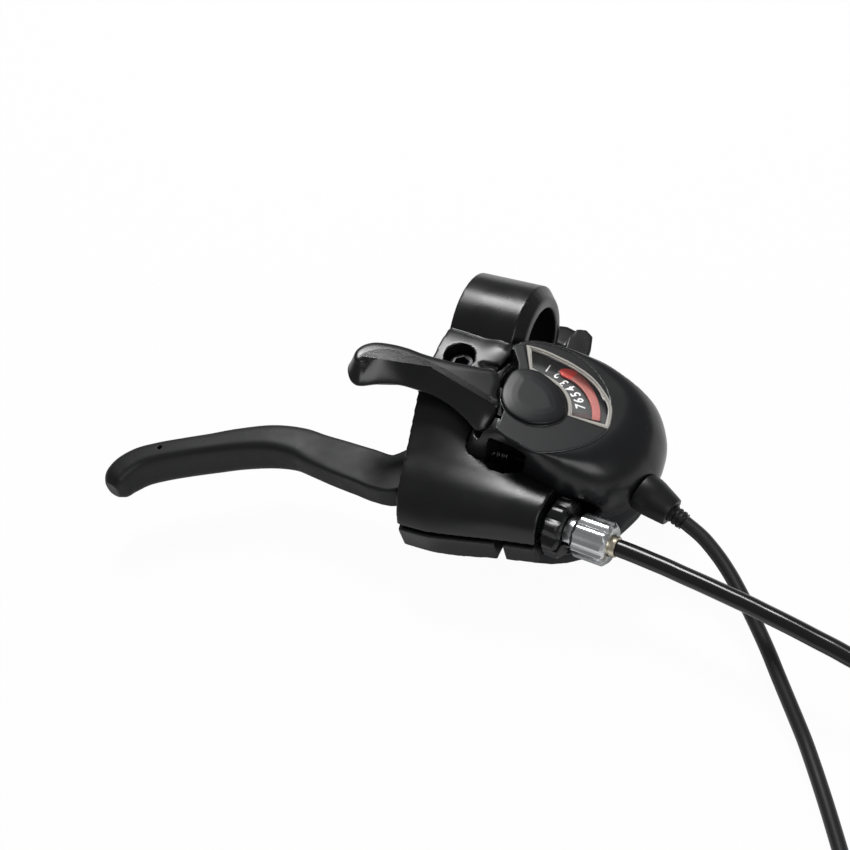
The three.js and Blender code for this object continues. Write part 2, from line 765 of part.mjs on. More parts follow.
// Brake lever: flat root, wide finger blade and hooked tip
function leverSolid() {
  const line = new THREE.CatmullRomCurve3(
    leverShares.map(([x, y]) => new THREE.Vector3(pivotX + x * leverSpan, pivotY + y * leverSpan, leverZ)),
    false,
    "centripetal",
  );
  const rings = leverShares.map(([, , wide, high, square], s) => {
    const t = s / (leverShares.length - 1);
    const middle = line.getPoint(t);
    const ahead = line.getTangent(t);
    const side = new THREE.Vector3(-ahead.y, ahead.x, 0).normalize();
    return Array.from({ length: leverSectionSides }, (_, i) => {
      const turn = (2 * Math.PI * (i + 0.5)) / leverSectionSides;
      const across = Math.sign(Math.cos(turn)) * Math.abs(Math.cos(turn)) ** (1 - square);
      const up = Math.sign(Math.sin(turn)) * Math.abs(Math.sin(turn)) ** (1 - square);
      const point = middle.clone().addScaledVector(side, (across * wide * leverSpan) / 2);
      point.z += (up * high * leverSpan) / 2;
      return point;
    });
  });
  return loft(rings);
}

const lever = cut(
  join(
    leverSolid(),
    moved(rod(pivotHubRadius, leverLow, leverHigh, mediumSides), pivotX, pivotY, 0),
    moved(rod(nippleLugRadius, leverLow, leverHigh, mediumSides), nippleX, nippleY, 0),
    moved(rod(stopRadius, leverLow, leverHigh, smallSides), stopX, stopY, 0),
  ),
  moved(rod(pivotPinRadius + runGap / 4, -40, 40, smallSides), pivotX, pivotY, 0),
  moved(rod(nippleRadius + seatGap, leverZ - nippleLength / 2 - seatGap, 40, smallSides), nippleX, nippleY, 0),
  block(nippleX, nippleX + 14, nippleY - slotHalf - 1.6, nippleY + slotHalf, leverZ - 1.4, 40),
  moved(rod(tipHoleRadius, -40, 40, smallSides), tipHoleX, tipHoleY, 0),
);
add(part, "brake_lever", lever, 0x1d1e20, 0.62, 0.1);
const pinTop = leverHigh + pivotRise - seatGap;
const pivotPin = turned(
  [
    [0, armBottom], [pivotHeadRadius, armBottom], [pivotHeadRadius, armBottom + pivotHeadHeight - seatGap],
    [pivotPinRadius, armBottom + pivotHeadHeight - seatGap], [pivotPinRadius, pinTop], [0, pinTop],
  ],
  smallSides,
);
add(part, "lever_pivot_pin", moved(pivotPin, pivotX, pivotY, 0), 0x9a9da0, 0.3, 0.95);
const nippleLow = leverZ - nippleLength / 2;
add(
  part,
  "brake_wire_nipple",
  moved(rod(nippleRadius, nippleLow, nippleLow + nippleLength, smallSides), nippleX, nippleY, 0),
  0xa8abae, 0.35, 0.9,
);

// Reach screw
function screwProfile() {
  const profile = [[0, screwTipX], [screwCoreRadius, screwTipX]];
  const pitch = (screwHeadX - screwTipX) / (screwThreads + 1);
  for (let i = 0; i < screwThreads; i += 1) {
    const start = screwTipX + pitch * (i + 0.4);
    profile.push([screwCoreRadius, start], [screwRadius, start + pitch * 0.3]);
    profile.push([screwRadius, start + pitch * 0.5], [screwCoreRadius, start + pitch * 0.8]);
  }
  profile.push([screwRadius, screwHeadX - pitch * 0.5], [screwRadius, screwHeadX - 0.4]);
  profile.push([screwRadius - 0.4, screwHeadX], [0, screwHeadX]);
  return profile;
}

const crossSlot = join(
  block(screwHeadX - crossDepth, screwHeadX + cutReach, -crossLength / 2, crossLength / 2, -crossWidth / 2, crossWidth / 2),
  block(screwHeadX - crossDepth, screwHeadX + cutReach, -crossWidth / 2, crossWidth / 2, -crossLength / 2, crossLength / 2),
);
const reachScrew = cut(alongX(turned(screwProfile(), smallSides)), crossSlot);
add(part, "reach_screw", moved(reachScrew, 0, screwY, screwZ), 0x141414, 0.3, 0.6);

// Lock ring, barrel adjuster and ferrule along the brake wire
function scalloped(outer, root, lobes, low, high, bore) {
  const steps = lobes * 5;
  const points = Array.from({ length: steps }, (_, i) => {
    const turn = (2 * Math.PI * i) / steps;
    const dip = Math.max(0, Math.cos(lobes * turn)) ** 0.7;
    const radius = outer - (outer - root) * dip;
    return [radius * Math.cos(turn), radius * Math.sin(turn)];
  });
  return cut(prism(points, low, high), rod(bore, low - cutReach, high + cutReach, mediumSides));
}

const wireEntry = block(-30, 60, -30, 0, -slotHalf, slotHalf);
const lockRing = cut(
  keep(
    alongX(scalloped(ringRadius, ringRootRadius, ringLobes, ringStart, ringStart + ringLength, threadRadius + seatGap)),
    alongX(
      turned(
        [
          [0, ringStart], [ringRadius - 0.8, ringStart], [ringRadius, ringStart + 0.8],
          [ringRadius, ringStart + ringLength - 0.8], [ringRadius - 0.8, ringStart + ringLength],
          [0, ringStart + ringLength],
        ],
        fineSides,
      ),
    ),
  ),
  wireEntry,
);
add(part, "lock_ring", onAdjuster(lockRing), 0x131315, 0.3, 0.05);
const barrelEnd = barrelStart + barrelLength;
const barrelBody = cut(
  join(
    alongX(
      cut(
        join(rod(threadRadius, -threadDepth, barrelStart, smallSides), rod(neckRadius, ringStart + ringLength + seatGap, barrelStart + 1, mediumSides)),
        rod(wireChannel, -threadDepth - cutReach, barrelStart + cutReach, smallSides),
      ),
    ),
    keep(
      alongX(scalloped(barrelRadius, barrelRootRadius, barrelFlutes, barrelStart, barrelEnd, wireChannel)),
      alongX(
        turned(
          [
            [0, barrelStart], [neckRadius, barrelStart], [barrelRadius, barrelStart + neckLength * 0.6],
            [barrelRadius, barrelEnd - 1.2], [barrelRadius - 1.2, barrelEnd], [0, barrelEnd],
          ],
          fineSides,
        ),
      ),
    ),
  ),
  alongX(rod(barrelBoreRadius, barrelEnd - barrelBoreDepth, barrelEnd + cutReach, mediumSides)),
  wireEntry,
);
add(part, "barrel_adjuster", onAdjuster(barrelBody), 0xc9cbcd, 0.25, 0.95);
const ferruleEnd = barrelEnd + ferruleLip;
const brakeFerrule = ring(wireRadius + seatGap, ferruleRadius, barrelEnd - barrelBoreDepth + seatGap, ferruleEnd, mediumSides);
add(part, "brake_ferrule", onAdjuster(alongX(brakeFerrule)), 0xcabfa6, 0.35, 0.85);
const ferruleMouth = new THREE.Vector3(ferruleEnd, 0, 0).applyMatrix4(adjusterMatrix);

// Brake casing from the ferrule to its far end cap
function casing(route, radius) {
  return tube(route, radius, wireSides + 2, railSteps);
}

function endCap(route, inner, outer, length) {
  const [before, last] = route.slice(-2).map(([x, y, z]) => new THREE.Vector3(x, y, z));
  const ahead = last.clone().sub(before).normalize();
  const turn = new THREE.Quaternion().setFromUnitVectors(new THREE.Vector3(0, 0, 1), ahead);
  const cap = turned(
    [
      [0, seatGap], [outer, seatGap], [outer, length * 0.7], [outer * 0.72, length], [inner, length],
      [inner, length - outer], [0, length - outer],
    ],
    smallSides,
  );
  return cap.applyQuaternion(turn).translate(last.x, last.y, last.z);
}

const brakeLine = [
  [ferruleMouth.x + seatGap, ferruleMouth.y - seatGap / 10, ferruleMouth.z], ...brakeRoute,
];
add(part, "brake_casing", casing(brakeLine, casingRadius), 0x101012, 0.25, 0.05);
add(part, "brake_casing_end", endCap(brakeLine, wireRadius, casingEndRadius, casingEndLength), 0xb4b6b8, 0.3, 0.9);
const wireStart = nippleX + nippleRadius + seatGap * 2;
const wireEnd = new THREE.Vector3(barrelEnd - barrelBoreDepth, 0, 0).applyMatrix4(adjusterMatrix);
const wireBend = new THREE.Vector3(-threadDepth, 0, 0).applyMatrix4(adjusterMatrix);
const brakeWire = tube(
  [[wireStart, nippleY, leverZ], [wireBend.x, wireBend.y, leverZ], [wireEnd.x, wireEnd.y, leverZ]],
  wireRadius, wireSides, 6,
);
add(part, "brake_wire", brakeWire, 0xb9bcbf, 0.3, 0.95);

// Shift unit housing: a dome with a window seat, open below
const windowSeat = sector(lensInner - seatGap, lensOuter + seatGap, lensFrom - 1, lensTo + 1, -30, 30);
const barRoomUnit = barKeepOut.clone().applyMatrix4(toUnit);
const collarRoomUnit = collarKeepOut.clone().applyMatrix4(toUnit);
const outletMatrix = new THREE.Matrix4()
  .makeTranslation(outletA, outletB, outletW)
  .multiply(new THREE.Matrix4().makeRotationZ(radians(outletTurn)));

function onOutlet(geometry) {
  return geometry.clone().applyMatrix4(outletMatrix);
}

const adjusterRoom = onAdjuster(alongX(rod(ringRadius + 1, -1, barrelEnd + 4, mediumSides))).applyMatrix4(toUnit);
const outletHole = onOutlet(alongX(rod(outletBaseRadius - 1.2, -outletStub - 8, 20, mediumSides)));
const innerDome = domeSolid(-domeWall, -domeHeight - cutReach);
const insideDome = domeSolid(-domeWall - seatGap, -domeHeight - cutReach);
const releaseGate = prism(
  [[-30, -16], [-30, 20], [-9, 14], [-7, 0], [-5, -12]],
  releaseBottom - runGap, 30,
);
const panelPoints = (() => {
  const from = panelShares[0][0];
  const to = panelShares[panelShares.length - 1][0];
  const steps = 26;
  const spline = new THREE.SplineCurve(panelShares.map(([a, r]) => new THREE.Vector2(a, r)));
  const outer = spline.getPoints(steps).map((v) => {
    const angle = radians(THREE.MathUtils.clamp(v.x, from, to));
    return [podReach * v.y * Math.cos(angle), podReach * v.y * Math.sin(angle)];
  });
  const inner = [[lensInner - 1, 0.6], [lensInner - 2.4, 4], [0, 8.4], [-8, 3]];
  return [...outer, ...inner];
})();
const pocketRoom = pocketSolid(0);
const pocketShell = pocketSolid(pocketWall);
const panelRoom = prism(panelPoints.map(([x, y]) => [x * roomShare, y * roomShare]), -domeWall - cutReach, cutReach);
const bossRoom = rod(bossRadius + seatGap, -domeWall - cutReach, cutReach, fineSides);
const housing = cut(
  domeSolid(0, -domeHeight), pocketRoom, cut(innerDome, pocketShell), windowSeat, panelRoom, bossRoom, barRoomUnit,
  collarRoomUnit, releaseGate, releaseRoom, outletHole, adjusterRoom,
);
const screwPlaces = coverScrewAt.map(([radius, angle]) => [radius * Math.cos(radians(angle)), radius * Math.sin(radians(angle))]);
const screwBore = screwPlaces.map(([x, y]) => moved(rod(screwShank + seatGap, -60, screwEnd + seatGap, smallSides), x, y, 0));
const upperBosses = screwPlaces.map(([x, y]) =>
  keep(moved(rod(screwBossRadius, -domeHeight, bossStart, smallSides), x, y, 0), domeSolid(-1, -domeHeight - cutReach)),
);
add(unit, "shift_housing", cut(join(housing, ...upperBosses), ...screwBore), 0x141517, 0.4, 0.05);

// Bottom cover with the slot that the thumb lever swings in
const coverHollow = (() => {
  const rings = [
    [coverTop + cutReach, coverTopShares], [coverTop + (coverBottom - coverTop) / 4, coverTopShares],
    [(coverTop + coverBottom) / 2, coverWaistShares], [coverBottom + 6, coverFootShares],
    [coverBottom + coverWall, coverFootShares],
  ].map(([height, shares]) => polarRing((angle) => podReach * shareAt(shares, angle) - coverWall, height));
  return loft(rings);
})();
const thumbOutline = spun(thumbShares, thumbSpan);
const thumbRoom = (() => {
  const grown = thumbOutline.map(([x, y]) => [x * 1.12, y]);
  const flat = prism(grown, thumbTop - thumbThickness - runGap, thumbTop + runGap);
  const swings = [1, 2, 3, 4].map((i) => flat.clone().rotateZ(radians((-thumbStroke * i) / 4)));
  const hub = rod(thumbHubRadius + runGap, thumbTop - thumbThickness - runGap, thumbTop + runGap, mediumSides);
  return join(flat, hub, ...swings);
})();
const nutRoom = rod(axleNutRadius + runGap, coverBottom - cutReach, thumbTop - thumbThickness, mediumSides);
const headRoom = screwPlaces.map(([x, y]) =>
  moved(rod(screwHead + seatGap, coverBottom - cutReach, coverBottom + screwHeadDrop + screwHeadHeight + seatGap, smallSides), x, y, 0),
);
const lowerBosses = screwPlaces.map(([x, y]) => moved(rod(screwBossRadius, coverBottom + seatGap, coverTop, smallSides), x, y, 0));
const cover = cut(
  join(cut(coverSolid(0), pocketRoom, cut(coverHollow, pocketShell)), ...lowerBosses), ...screwBore, ...headRoom, barRoomUnit, thumbRoom, outletHole, adjusterRoom,
  rod(axleRadius + seatGap, -60, 0, smallSides), nutRoom,
);
add(unit, "bottom_cover", cover, 0x10131a, 0.38, 0.05);

screwPlaces.forEach(([x, y], i) => {
  const low = coverBottom + screwHeadDrop;
  const screw = cut(
    turned(
      [
        [0, low], [screwHead, low], [screwHead, low + screwHeadHeight], [screwShank, low + screwHeadHeight],
        [screwShank, screwEnd], [0, screwEnd],
      ],
      smallSides,
    ),
    block(-screwHead, screwHead, -crossWidth / 2, crossWidth / 2, low - cutReach, low + screwSlotDepth),
    block(-crossWidth / 2, crossWidth / 2, -screwHead, screwHead, low - cutReach, low + screwSlotDepth),
  );
  add(unit, `cover_screw_${i + 1}`, moved(screw, x, y, 0), 0x8f9296, 0.35, 0.9);
});

// Indicator cover: the round boss and the plain panel in front of it
const boss = turned(
  [
    [0, -panelThickness], [bossRadius, -panelThickness], [bossRadius, 0.2], [bossRadius - 0.6, 0.8],
    [bossRadius * 0.7, bossRise - 0.3], [bossRadius * 0.4, bossRise], [0, bossRise + 0.1],
  ],
  fineSides,
);
const lensRoom = sector(lensInner - seatGap, lensOuter + 4, lensFrom - 1, lensTo + 1, -panelThickness - cutReach, cutReach);
const indicator = cut(
  join(prism(panelPoints, -panelThickness, 0), boss),
  rod(axleHeadRadius + seatGap, -panelThickness - cutReach, axleTop + seatGap, mediumSides),
  lensRoom,
  releaseRoom,
);
add(unit, "indicator_cover", indicator, 0x16181c, 0.36, 0.05);
const lensPane = sector(lensInner, lensOuter, lensFrom, lensTo, -lensThickness, 0);
const lensHollow = sector(
  lensInner + bezelWidth, lensOuter - bezelWidth, lensFrom + 3, lensTo - 3, -lensThickness - 1, -lensThickness + 0.8,
);
add(unit, "indicator_lens", cut(lensPane, lensHollow), 0xd8dcdc, 0.08, 0);
const dial = keep(
  sector(dialInner, lensOuter - seatGap, lensFrom - dialOverlap, lensTo + dialOverlap, -dialDepth - dialThickness, -dialDepth),
  cut(insideDome, collarRoomUnit),
);
add(unit, "dial_plate", dial, 0x37393b, 0.6, 0);
const needleBand = sector(needleInner, needleOuter, needleFrom, needleTo, -needleDepth - needleThickness, -needleDepth);
const tipAt = radians(needleTipAngle);
const baseAt = radians(needleTo);
const needleTip = prism(
  [
    [needleInner * Math.cos(baseAt + 0.001), needleInner * Math.sin(baseAt + 0.001)],
    [(needleOuter - 0.2) * Math.cos(baseAt - 0.1), (needleOuter - 0.2) * Math.sin(baseAt - 0.1)],
    [(needleOuter - 1) * Math.cos(tipAt), (needleOuter - 1) * Math.sin(tipAt)],
    [(needleOuter - needleTipReach) * Math.cos(tipAt), (needleOuter - needleTipReach) * Math.sin(tipAt)],
  ],
  -needleDepth - needleThickness,
  -needleDepth,
);
const needleArm = sector(needleArmInner, needleInner + 0.2, needleFrom + 4, needleFrom + 22, -needleDepth - needleThickness, -needleDepth);
const needleHub = ring(axleRadius + runGap, 5.2, -needleDepth - needleThickness, -needleDepth, mediumSides);
add(unit, "gear_needle", join(needleBand, needleTip, needleArm, needleHub), 0xc8201c, 0.45, 0);

// Main axle and its nut, which turn with the thumb lever
const axle = turned(
  [
    [0, axleEnd], [axleRadius, axleEnd], [axleRadius, axleTop - axleHeadHeight],
    [axleHeadRadius, axleTop - axleHeadHeight], [axleHeadRadius, axleTop], [0, axleTop],
  ],
  mediumSides,
);
add(unit, "main_axle", axle, 0x9fa2a5, 0.3, 0.95);
const nutTop = thumbTop - thumbThickness - seatGap;
const axleNut = cut(
  rod(axleNutRadius, nutTop - axleNutHeight, nutTop, 6),
  rod(axleRadius + seatGap / 2, nutTop - axleNutHeight - cutReach, nutTop + cutReach, mediumSides),
);
add(unit, "axle_nut", axleNut, 0x8a8d90, 0.35, 0.9);

function polar([radius, angle]) {
  return [radius * Math.cos(radians(angle)), radius * Math.sin(radians(angle))];
}

// Cable spool: a grooved sector with one ratchet tooth for every gear
const toothBottom = spoolTop - toothHeight;
const grooveTop = toothBottom - flangeHeight;
const grooveBottom = grooveTop - grooveHeight;
const spoolBottom = grooveBottom - flangeHeight;
const ratchet = (() => {
  const teeth = Math.floor((spoolTo - spoolFrom) / toothStep);
  const points = [];
  for (let i = 0; i < teeth; i += 1) {
    const start = spoolFrom + i * toothStep;
    points.push(polar([spoolRadius - toothRise, start]));
    points.push(polar([spoolRadius, start + toothStep / 6]));
    points.push(polar([spoolRadius, start + toothStep / 3]));
  }
  points.push(polar([spoolRadius - toothRise, spoolFrom + teeth * toothStep]));
  points.push(polar([spoolHubRadius - 1, spoolTo]));
  points.push(polar([spoolHubRadius - 1, spoolFrom]));
  return prism(points, toothBottom - seatGap, spoolTop);
})();
const spoolSector = keep(
  turned(
    [
      [0, spoolBottom], [spoolRadius, spoolBottom], [spoolRadius, grooveBottom], [spoolGrooveRadius, grooveBottom],
      [spoolGrooveRadius, grooveTop], [spoolRadius, grooveTop], [spoolRadius, toothBottom], [0, toothBottom],
    ],
    mediumSides,
  ),
  sector(1, spoolRadius + cutReach, spoolFrom, spoolTo, spoolBottom - cutReach, spoolTop + cutReach),
);
const spool = cut(
  join(spoolSector, ratchet, rod(spoolHubRadius, spoolBottom, spoolTop, mediumSides)),
  rod(axleRadius + runGap, spoolBottom - cutReach, spoolTop + cutReach, mediumSides),
);
add(unit, "cable_spool", spool, 0xd9d5c8, 0.5, 0);

// Two pawls on pins: one holds the spool, the other is carried by the drive plate
function pawl(pinAt, noseAt, low) {
  const [px, py] = polar(pinAt);
  const [nx, ny] = polar(noseAt);
  const reach = Math.hypot(nx - px, ny - py);
  const ax = (nx - px) / reach;
  const ay = (ny - py) / reach;
  const side = pawlBossRadius * 0.8;
  const arm = prism(
    [[px - ay * side, py + ax * side], [px + ay * side, py - ax * side], [nx + ay * pawlNoseRadius, ny - ax * pawlNoseRadius],
      [nx - ay * pawlNoseRadius, ny + ax * pawlNoseRadius]],
    low,
    low + pawlThickness,
  );
  return cut(
    join(arm, moved(rod(pawlBossRadius, low, low + pawlThickness, smallSides), px, py, 0)),
    moved(rod(pawlPinRadius + runGap / 2, low - cutReach, low + cutReach * 2, smallSides), px, py, 0),
  );
}

function pawlPin(pinAt, low, high) {
  const [px, py] = polar(pinAt);
  return moved(rod(pawlPinRadius, low, high, smallSides), px, py, 0);
}

add(unit, "holding_pawl", pawl(holdPinAt, holdNoseAt, toothBottom), 0xb0b2b4, 0.35, 0.9);
add(unit, "drive_pawl", pawl(drivePinAt, driveNoseAt, toothBottom), 0xb0b2b4, 0.35, 0.9);
const holdPin = pawlPin(holdPinAt, plateTop - seatGap, spoolTop + seatGap);

// Drive plate fixed on the axle, and the steel base plate below it
const driveOutline = [polar([driveHubRadius, 140]), polar([driveHubRadius, -20]), polar([16, 52]), polar([18.4, 58]), polar([18.4, 66]), polar([16, 72])];
const drivePlate = cut(
  join(
    rod(driveHubRadius, driveTop - driveThickness, driveTop, mediumSides),
    prism(driveOutline, driveTop - driveThickness, driveTop),
    pawlPin(drivePinAt, driveTop - driveThickness, spoolTop + seatGap),
  ),
  rod(axleRadius + seatGap / 2, driveTop - cutReach, driveTop + cutReach, mediumSides),
);
add(unit, "drive_plate", drivePlate, 0xa5a8ab, 0.35, 0.9);
const basePlate = keep(
  join(
    cut(
      rod(plateRadius, plateTop - plateThickness, plateTop, fineSides),
      rod(axleRadius + seatGap, plateTop - cutReach, plateTop + cutReach, mediumSides),
    ),
    holdPin,
  ),
  cut(insideDome, barRoomUnit, collarRoomUnit, pocketShell),
);
add(unit, "base_plate", basePlate, 0xa5a8ab, 0.35, 0.9);

// A coil spring round an axis with two short straight legs
function coil(radius, wire, top, pitch, turns, legTo) {
  const steps = Math.ceil(turns * 9);
  const points = Array.from({ length: steps + 1 }, (_, i) => {
    const turn = (2 * Math.PI * turns * i) / steps;
    return [radius * Math.cos(turn), radius * Math.sin(turn), top - (pitch * turns * i) / steps];
  });
  const [x, y, z] = points[points.length - 1];
  const end = 2 * Math.PI * turns;
  points.push([x - legTo * Math.sin(end), y + legTo * Math.cos(end), z]);
  return tube(points, wire, wireSides, steps + 2);
}

add(unit, "thumb_spring", coil(thumbSpringRadius, springWire, thumbSpringTop, thumbSpringPitch, thumbSpringTurns, 1), 0x9c9ea1, 0.3, 0.95);
add(
  part,
  "lever_spring",
  moved(coil(leverSpringRadius, leverSpringWire, leverSpringTop, leverSpringPitch, leverSpringTurns, 1), pivotX, pivotY, 0),
  0x9c9ea1, 0.3, 0.95,
);

// Release lever with its thin hub under the indicator cover
const releaseArm = softPrism(releaseOutline, releaseBottom, releaseTop, releaseEdge);
const releaseHub = join(
  rod(releaseHubRadius, releaseHubTop - releaseHubThickness, releaseHubTop, mediumSides),
  prism([[-14, -6], [0, -releaseHubRadius], [0, releaseHubRadius], [-14, 7]], releaseHubTop - releaseHubThickness, releaseHubTop),
);
const releaseLever = cut(
  join(releaseArm, releaseHub),
  rod(axleRadius + runGap, -60, 30, mediumSides),
);
add(unit, "release_lever", releaseLever, 0x17181b, 0.34, 0.05);

// Thumb lever: a steel arm with a moulded pad
const thumbArm = cut(
  join(
    prism(thumbOutline, thumbTop - thumbThickness, thumbTop),
    rod(thumbHubRadius, thumbTop - thumbThickness, thumbTop, mediumSides),
  ),
  rod(axleRadius + seatGap / 2, thumbTop - thumbThickness - cutReach, thumbTop + cutReach, mediumSides),
);
const thumbNeck = keep(
  prism(spun(thumbPadShares, thumbSpan), thumbPadTop - thumbEdge * 2, thumbTop - thumbThickness / 2),
  prism(thumbOutline, thumbPadBottom, thumbTop),
);
const thumbPad = softPrism(spun(thumbPadShares, thumbSpan), thumbPadBottom, thumbPadTop, thumbEdge);
add(unit, "thumb_lever", join(thumbArm, thumbNeck, thumbPad), 0x17181b, 0.4, 0.05);

// Cable outlet, ribbed sleeve and shift casing
const outlet = cut(
  turned(
    [
      [0, -outletStub], [outletBaseRadius - 1.6, -outletStub], [outletBaseRadius - 1.6, 2], [outletBaseRadius, 2],
      [outletEndRadius, outletLength - 0.6], [outletEndRadius - 0.6, outletLength], [0, outletLength],
    ],
    mediumSides,
  ),
  rod(outletBore, outletLength - outletBoreDepth, outletLength + cutReach, mediumSides),
  rod(wireRadius + seatGap, -outletStub - cutReach, outletLength, smallSides),
);
add(unit, "cable_outlet", onOutlet(alongX(outlet)), 0x18191c, 0.4, 0.05);
const sleeveStart = outletLength - outletBoreDepth + seatGap;
const sleeveProfile = [[wireRadius + seatGap, sleeveStart], [sleeveRadius, sleeveStart]];
for (let i = 0; i < sleeveGrooves; i += 1) {
  const at = outletLength + 0.8 + i * 1.4;
  sleeveProfile.push([sleeveRadius, at], [sleeveNotch, at + 0.2], [sleeveNotch, at + 0.5], [sleeveRadius, at + 0.7]);
}
sleeveProfile.push([sleeveRadius, sleeveStart + sleeveLength], [wireRadius + seatGap, sleeveStart + sleeveLength]);
sleeveProfile.push([wireRadius + seatGap, sleeveStart]);
add(unit, "outlet_sleeve", onOutlet(alongX(turned(sleeveProfile, mediumSides))), 0x151618, 0.5, 0.05);
const wireLevel = (grooveTop * 2 + grooveBottom) / 3;
const wound = Array.from({ length: 5 }, (_, i) => {
  const angle = shiftWireTo + ((shiftWireFrom - shiftWireTo) * i) / 4;
  return [...polar([spoolGrooveRadius + shiftWireRadius + runGap, angle]), wireLevel];
});
const wireIn = new THREE.Vector3(-outletStub - 1, 0, 0).applyMatrix4(outletMatrix).toArray();
const wireOut = new THREE.Vector3(sleeveStart + sleeveLength / 2, 0, 0).applyMatrix4(outletMatrix).toArray();
add(unit, "shift_wire", tube([...wound, wireIn, wireOut], shiftWireRadius, wireSides, 26), 0xb9bcbf, 0.3, 0.95);
const sleeveMouth = new THREE.Vector3(sleeveStart + sleeveLength + seatGap, 0, 0)
  .applyMatrix4(outletMatrix)
  .applyMatrix4(unit.matrix);
const sleeveOnward = new THREE.Vector3(sleeveStart + sleeveLength + 4, 0, 0)
  .applyMatrix4(outletMatrix)
  .applyMatrix4(unit.matrix);
const shiftLine = [sleeveMouth.toArray(), sleeveOnward.toArray(), ...shiftRoute];
add(part, "shift_casing", casing(shiftLine, shiftCasingRadius), 0x17181a, 0.45, 0.05);
add(part, "shift_casing_end", endCap(shiftLine, wireRadius, shiftEndRadius, casingEndLength), 0xb4b6b8, 0.3, 0.9);

export default part;
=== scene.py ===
import json
import math

import bpy
import numpy as np
from mathutils import Matrix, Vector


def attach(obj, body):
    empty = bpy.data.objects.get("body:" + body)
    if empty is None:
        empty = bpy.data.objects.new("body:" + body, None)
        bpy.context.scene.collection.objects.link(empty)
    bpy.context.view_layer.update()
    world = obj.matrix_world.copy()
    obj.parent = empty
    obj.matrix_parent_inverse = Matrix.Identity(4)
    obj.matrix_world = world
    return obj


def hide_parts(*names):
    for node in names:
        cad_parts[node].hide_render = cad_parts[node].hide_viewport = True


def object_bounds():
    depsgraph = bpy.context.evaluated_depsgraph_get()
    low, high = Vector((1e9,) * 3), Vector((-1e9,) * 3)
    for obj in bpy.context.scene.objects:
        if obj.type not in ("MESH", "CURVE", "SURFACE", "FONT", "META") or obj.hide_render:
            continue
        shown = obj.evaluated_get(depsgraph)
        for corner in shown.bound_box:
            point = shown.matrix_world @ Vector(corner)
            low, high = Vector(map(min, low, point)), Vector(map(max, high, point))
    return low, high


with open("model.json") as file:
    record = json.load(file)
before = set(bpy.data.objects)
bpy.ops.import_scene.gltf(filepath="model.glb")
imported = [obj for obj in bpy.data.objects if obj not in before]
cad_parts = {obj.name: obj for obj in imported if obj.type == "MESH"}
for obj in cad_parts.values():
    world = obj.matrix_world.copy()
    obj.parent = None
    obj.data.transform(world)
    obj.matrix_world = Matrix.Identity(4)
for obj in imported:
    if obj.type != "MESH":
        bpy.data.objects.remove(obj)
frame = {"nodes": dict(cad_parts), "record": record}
cad_low, cad_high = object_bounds()

# Camera: the unit is seen from its front, high and a little from one side, with the clamp's axis rising to
# the upper left. A long lens keeps the two casings nearly parallel.
azimuth, elevation, roll = np.radians((37.0, 50.0, 15.5))
level = np.array((math.cos(azimuth), math.sin(azimuth), 0.0))
upward = np.array(
    (-math.sin(azimuth) * math.sin(elevation), math.cos(azimuth) * math.sin(elevation), math.cos(elevation))
)
sight = np.cross(level, upward)
across = level * math.cos(roll) - upward * math.sin(roll)
upright = level * math.sin(roll) + upward * math.cos(roll)
camera_distance, shift_left, shift_down = 0.520, 0.02333, 0.02697
stand = sight * camera_distance - across * shift_left - upright * shift_down
camera_data = bpy.data.cameras.new("product_view")
camera_data.lens = 72.68
camera_data.sensor_width = 36
camera_data.clip_start = 0.01
camera = bpy.data.objects.new("product_view", camera_data)
camera.matrix_world = Matrix([[across[i], upright[i], sight[i], stand[i]] for i in range(3)] + [[0, 0, 0, 1]])
bpy.context.scene.collection.objects.link(camera)
bpy.context.scene.camera = camera
bpy.context.scene.view_settings.view_transform = "Standard"

# Brake casing: a 5 mm jacket of glossy black plastic over flat steel spiral. It leaves the ferrule of the
# barrel adjuster and runs taut to the brake, where a pressed metal cap closes it.
mm = 0.001


def smooth_line(points, count):
    """Centripetal Catmull-Rom line: knots spaced by the root of the chord, each span the cubic through its
    two ends with slopes from its neighbours, sampled at even steps of the knot value."""
    points = np.asarray(points, float)
    wide = np.vstack((2 * points[0] - points[1], points, 2 * points[-1] - points[-2]))
    knot = np.concatenate(([0], np.cumsum(np.sqrt(np.linalg.norm(np.diff(wide, axis=0), axis=1)))))
    t = np.linspace(knot[1], knot[-2], count)
    span = np.clip(np.searchsorted(knot, t, side="right") - 1, 1, len(points) - 1)
    k0, k1, k2, k3 = (knot[span + i][:, None] for i in (-1, 0, 1, 2))
    p0, p1, p2, p3 = (wide[span + i] for i in (-1, 0, 1, 2))
    t = t[:, None]
    a1 = (k1 - t) / (k1 - k0) * p0 + (t - k0) / (k1 - k0) * p1
    a2 = (k2 - t) / (k2 - k1) * p1 + (t - k1) / (k2 - k1) * p2
    a3 = (k3 - t) / (k3 - k2) * p2 + (t - k2) / (k3 - k2) * p3
    b1 = (k2 - t) / (k2 - k0) * a1 + (t - k0) / (k2 - k0) * a2
    b2 = (k3 - t) / (k3 - k1) * a2 + (t - k1) / (k3 - k1) * a3
    return (k2 - t) / (k2 - k1) * b1 + (t - k1) / (k2 - k1) * b2


def link_piece(name, mesh, material, crease):
    """Puts a mesh on show, smooth except along edges that turn more than the crease in degrees."""
    mesh.polygons.foreach_set("use_smooth", np.ones(len(mesh.polygons), bool))
    mesh.set_sharp_from_angle(angle=math.radians(crease))
    mesh.materials.clear()
    mesh.materials.append(material)
    piece = bpy.data.objects.new(name, mesh)
    bpy.context.scene.collection.objects.link(piece)
    return piece


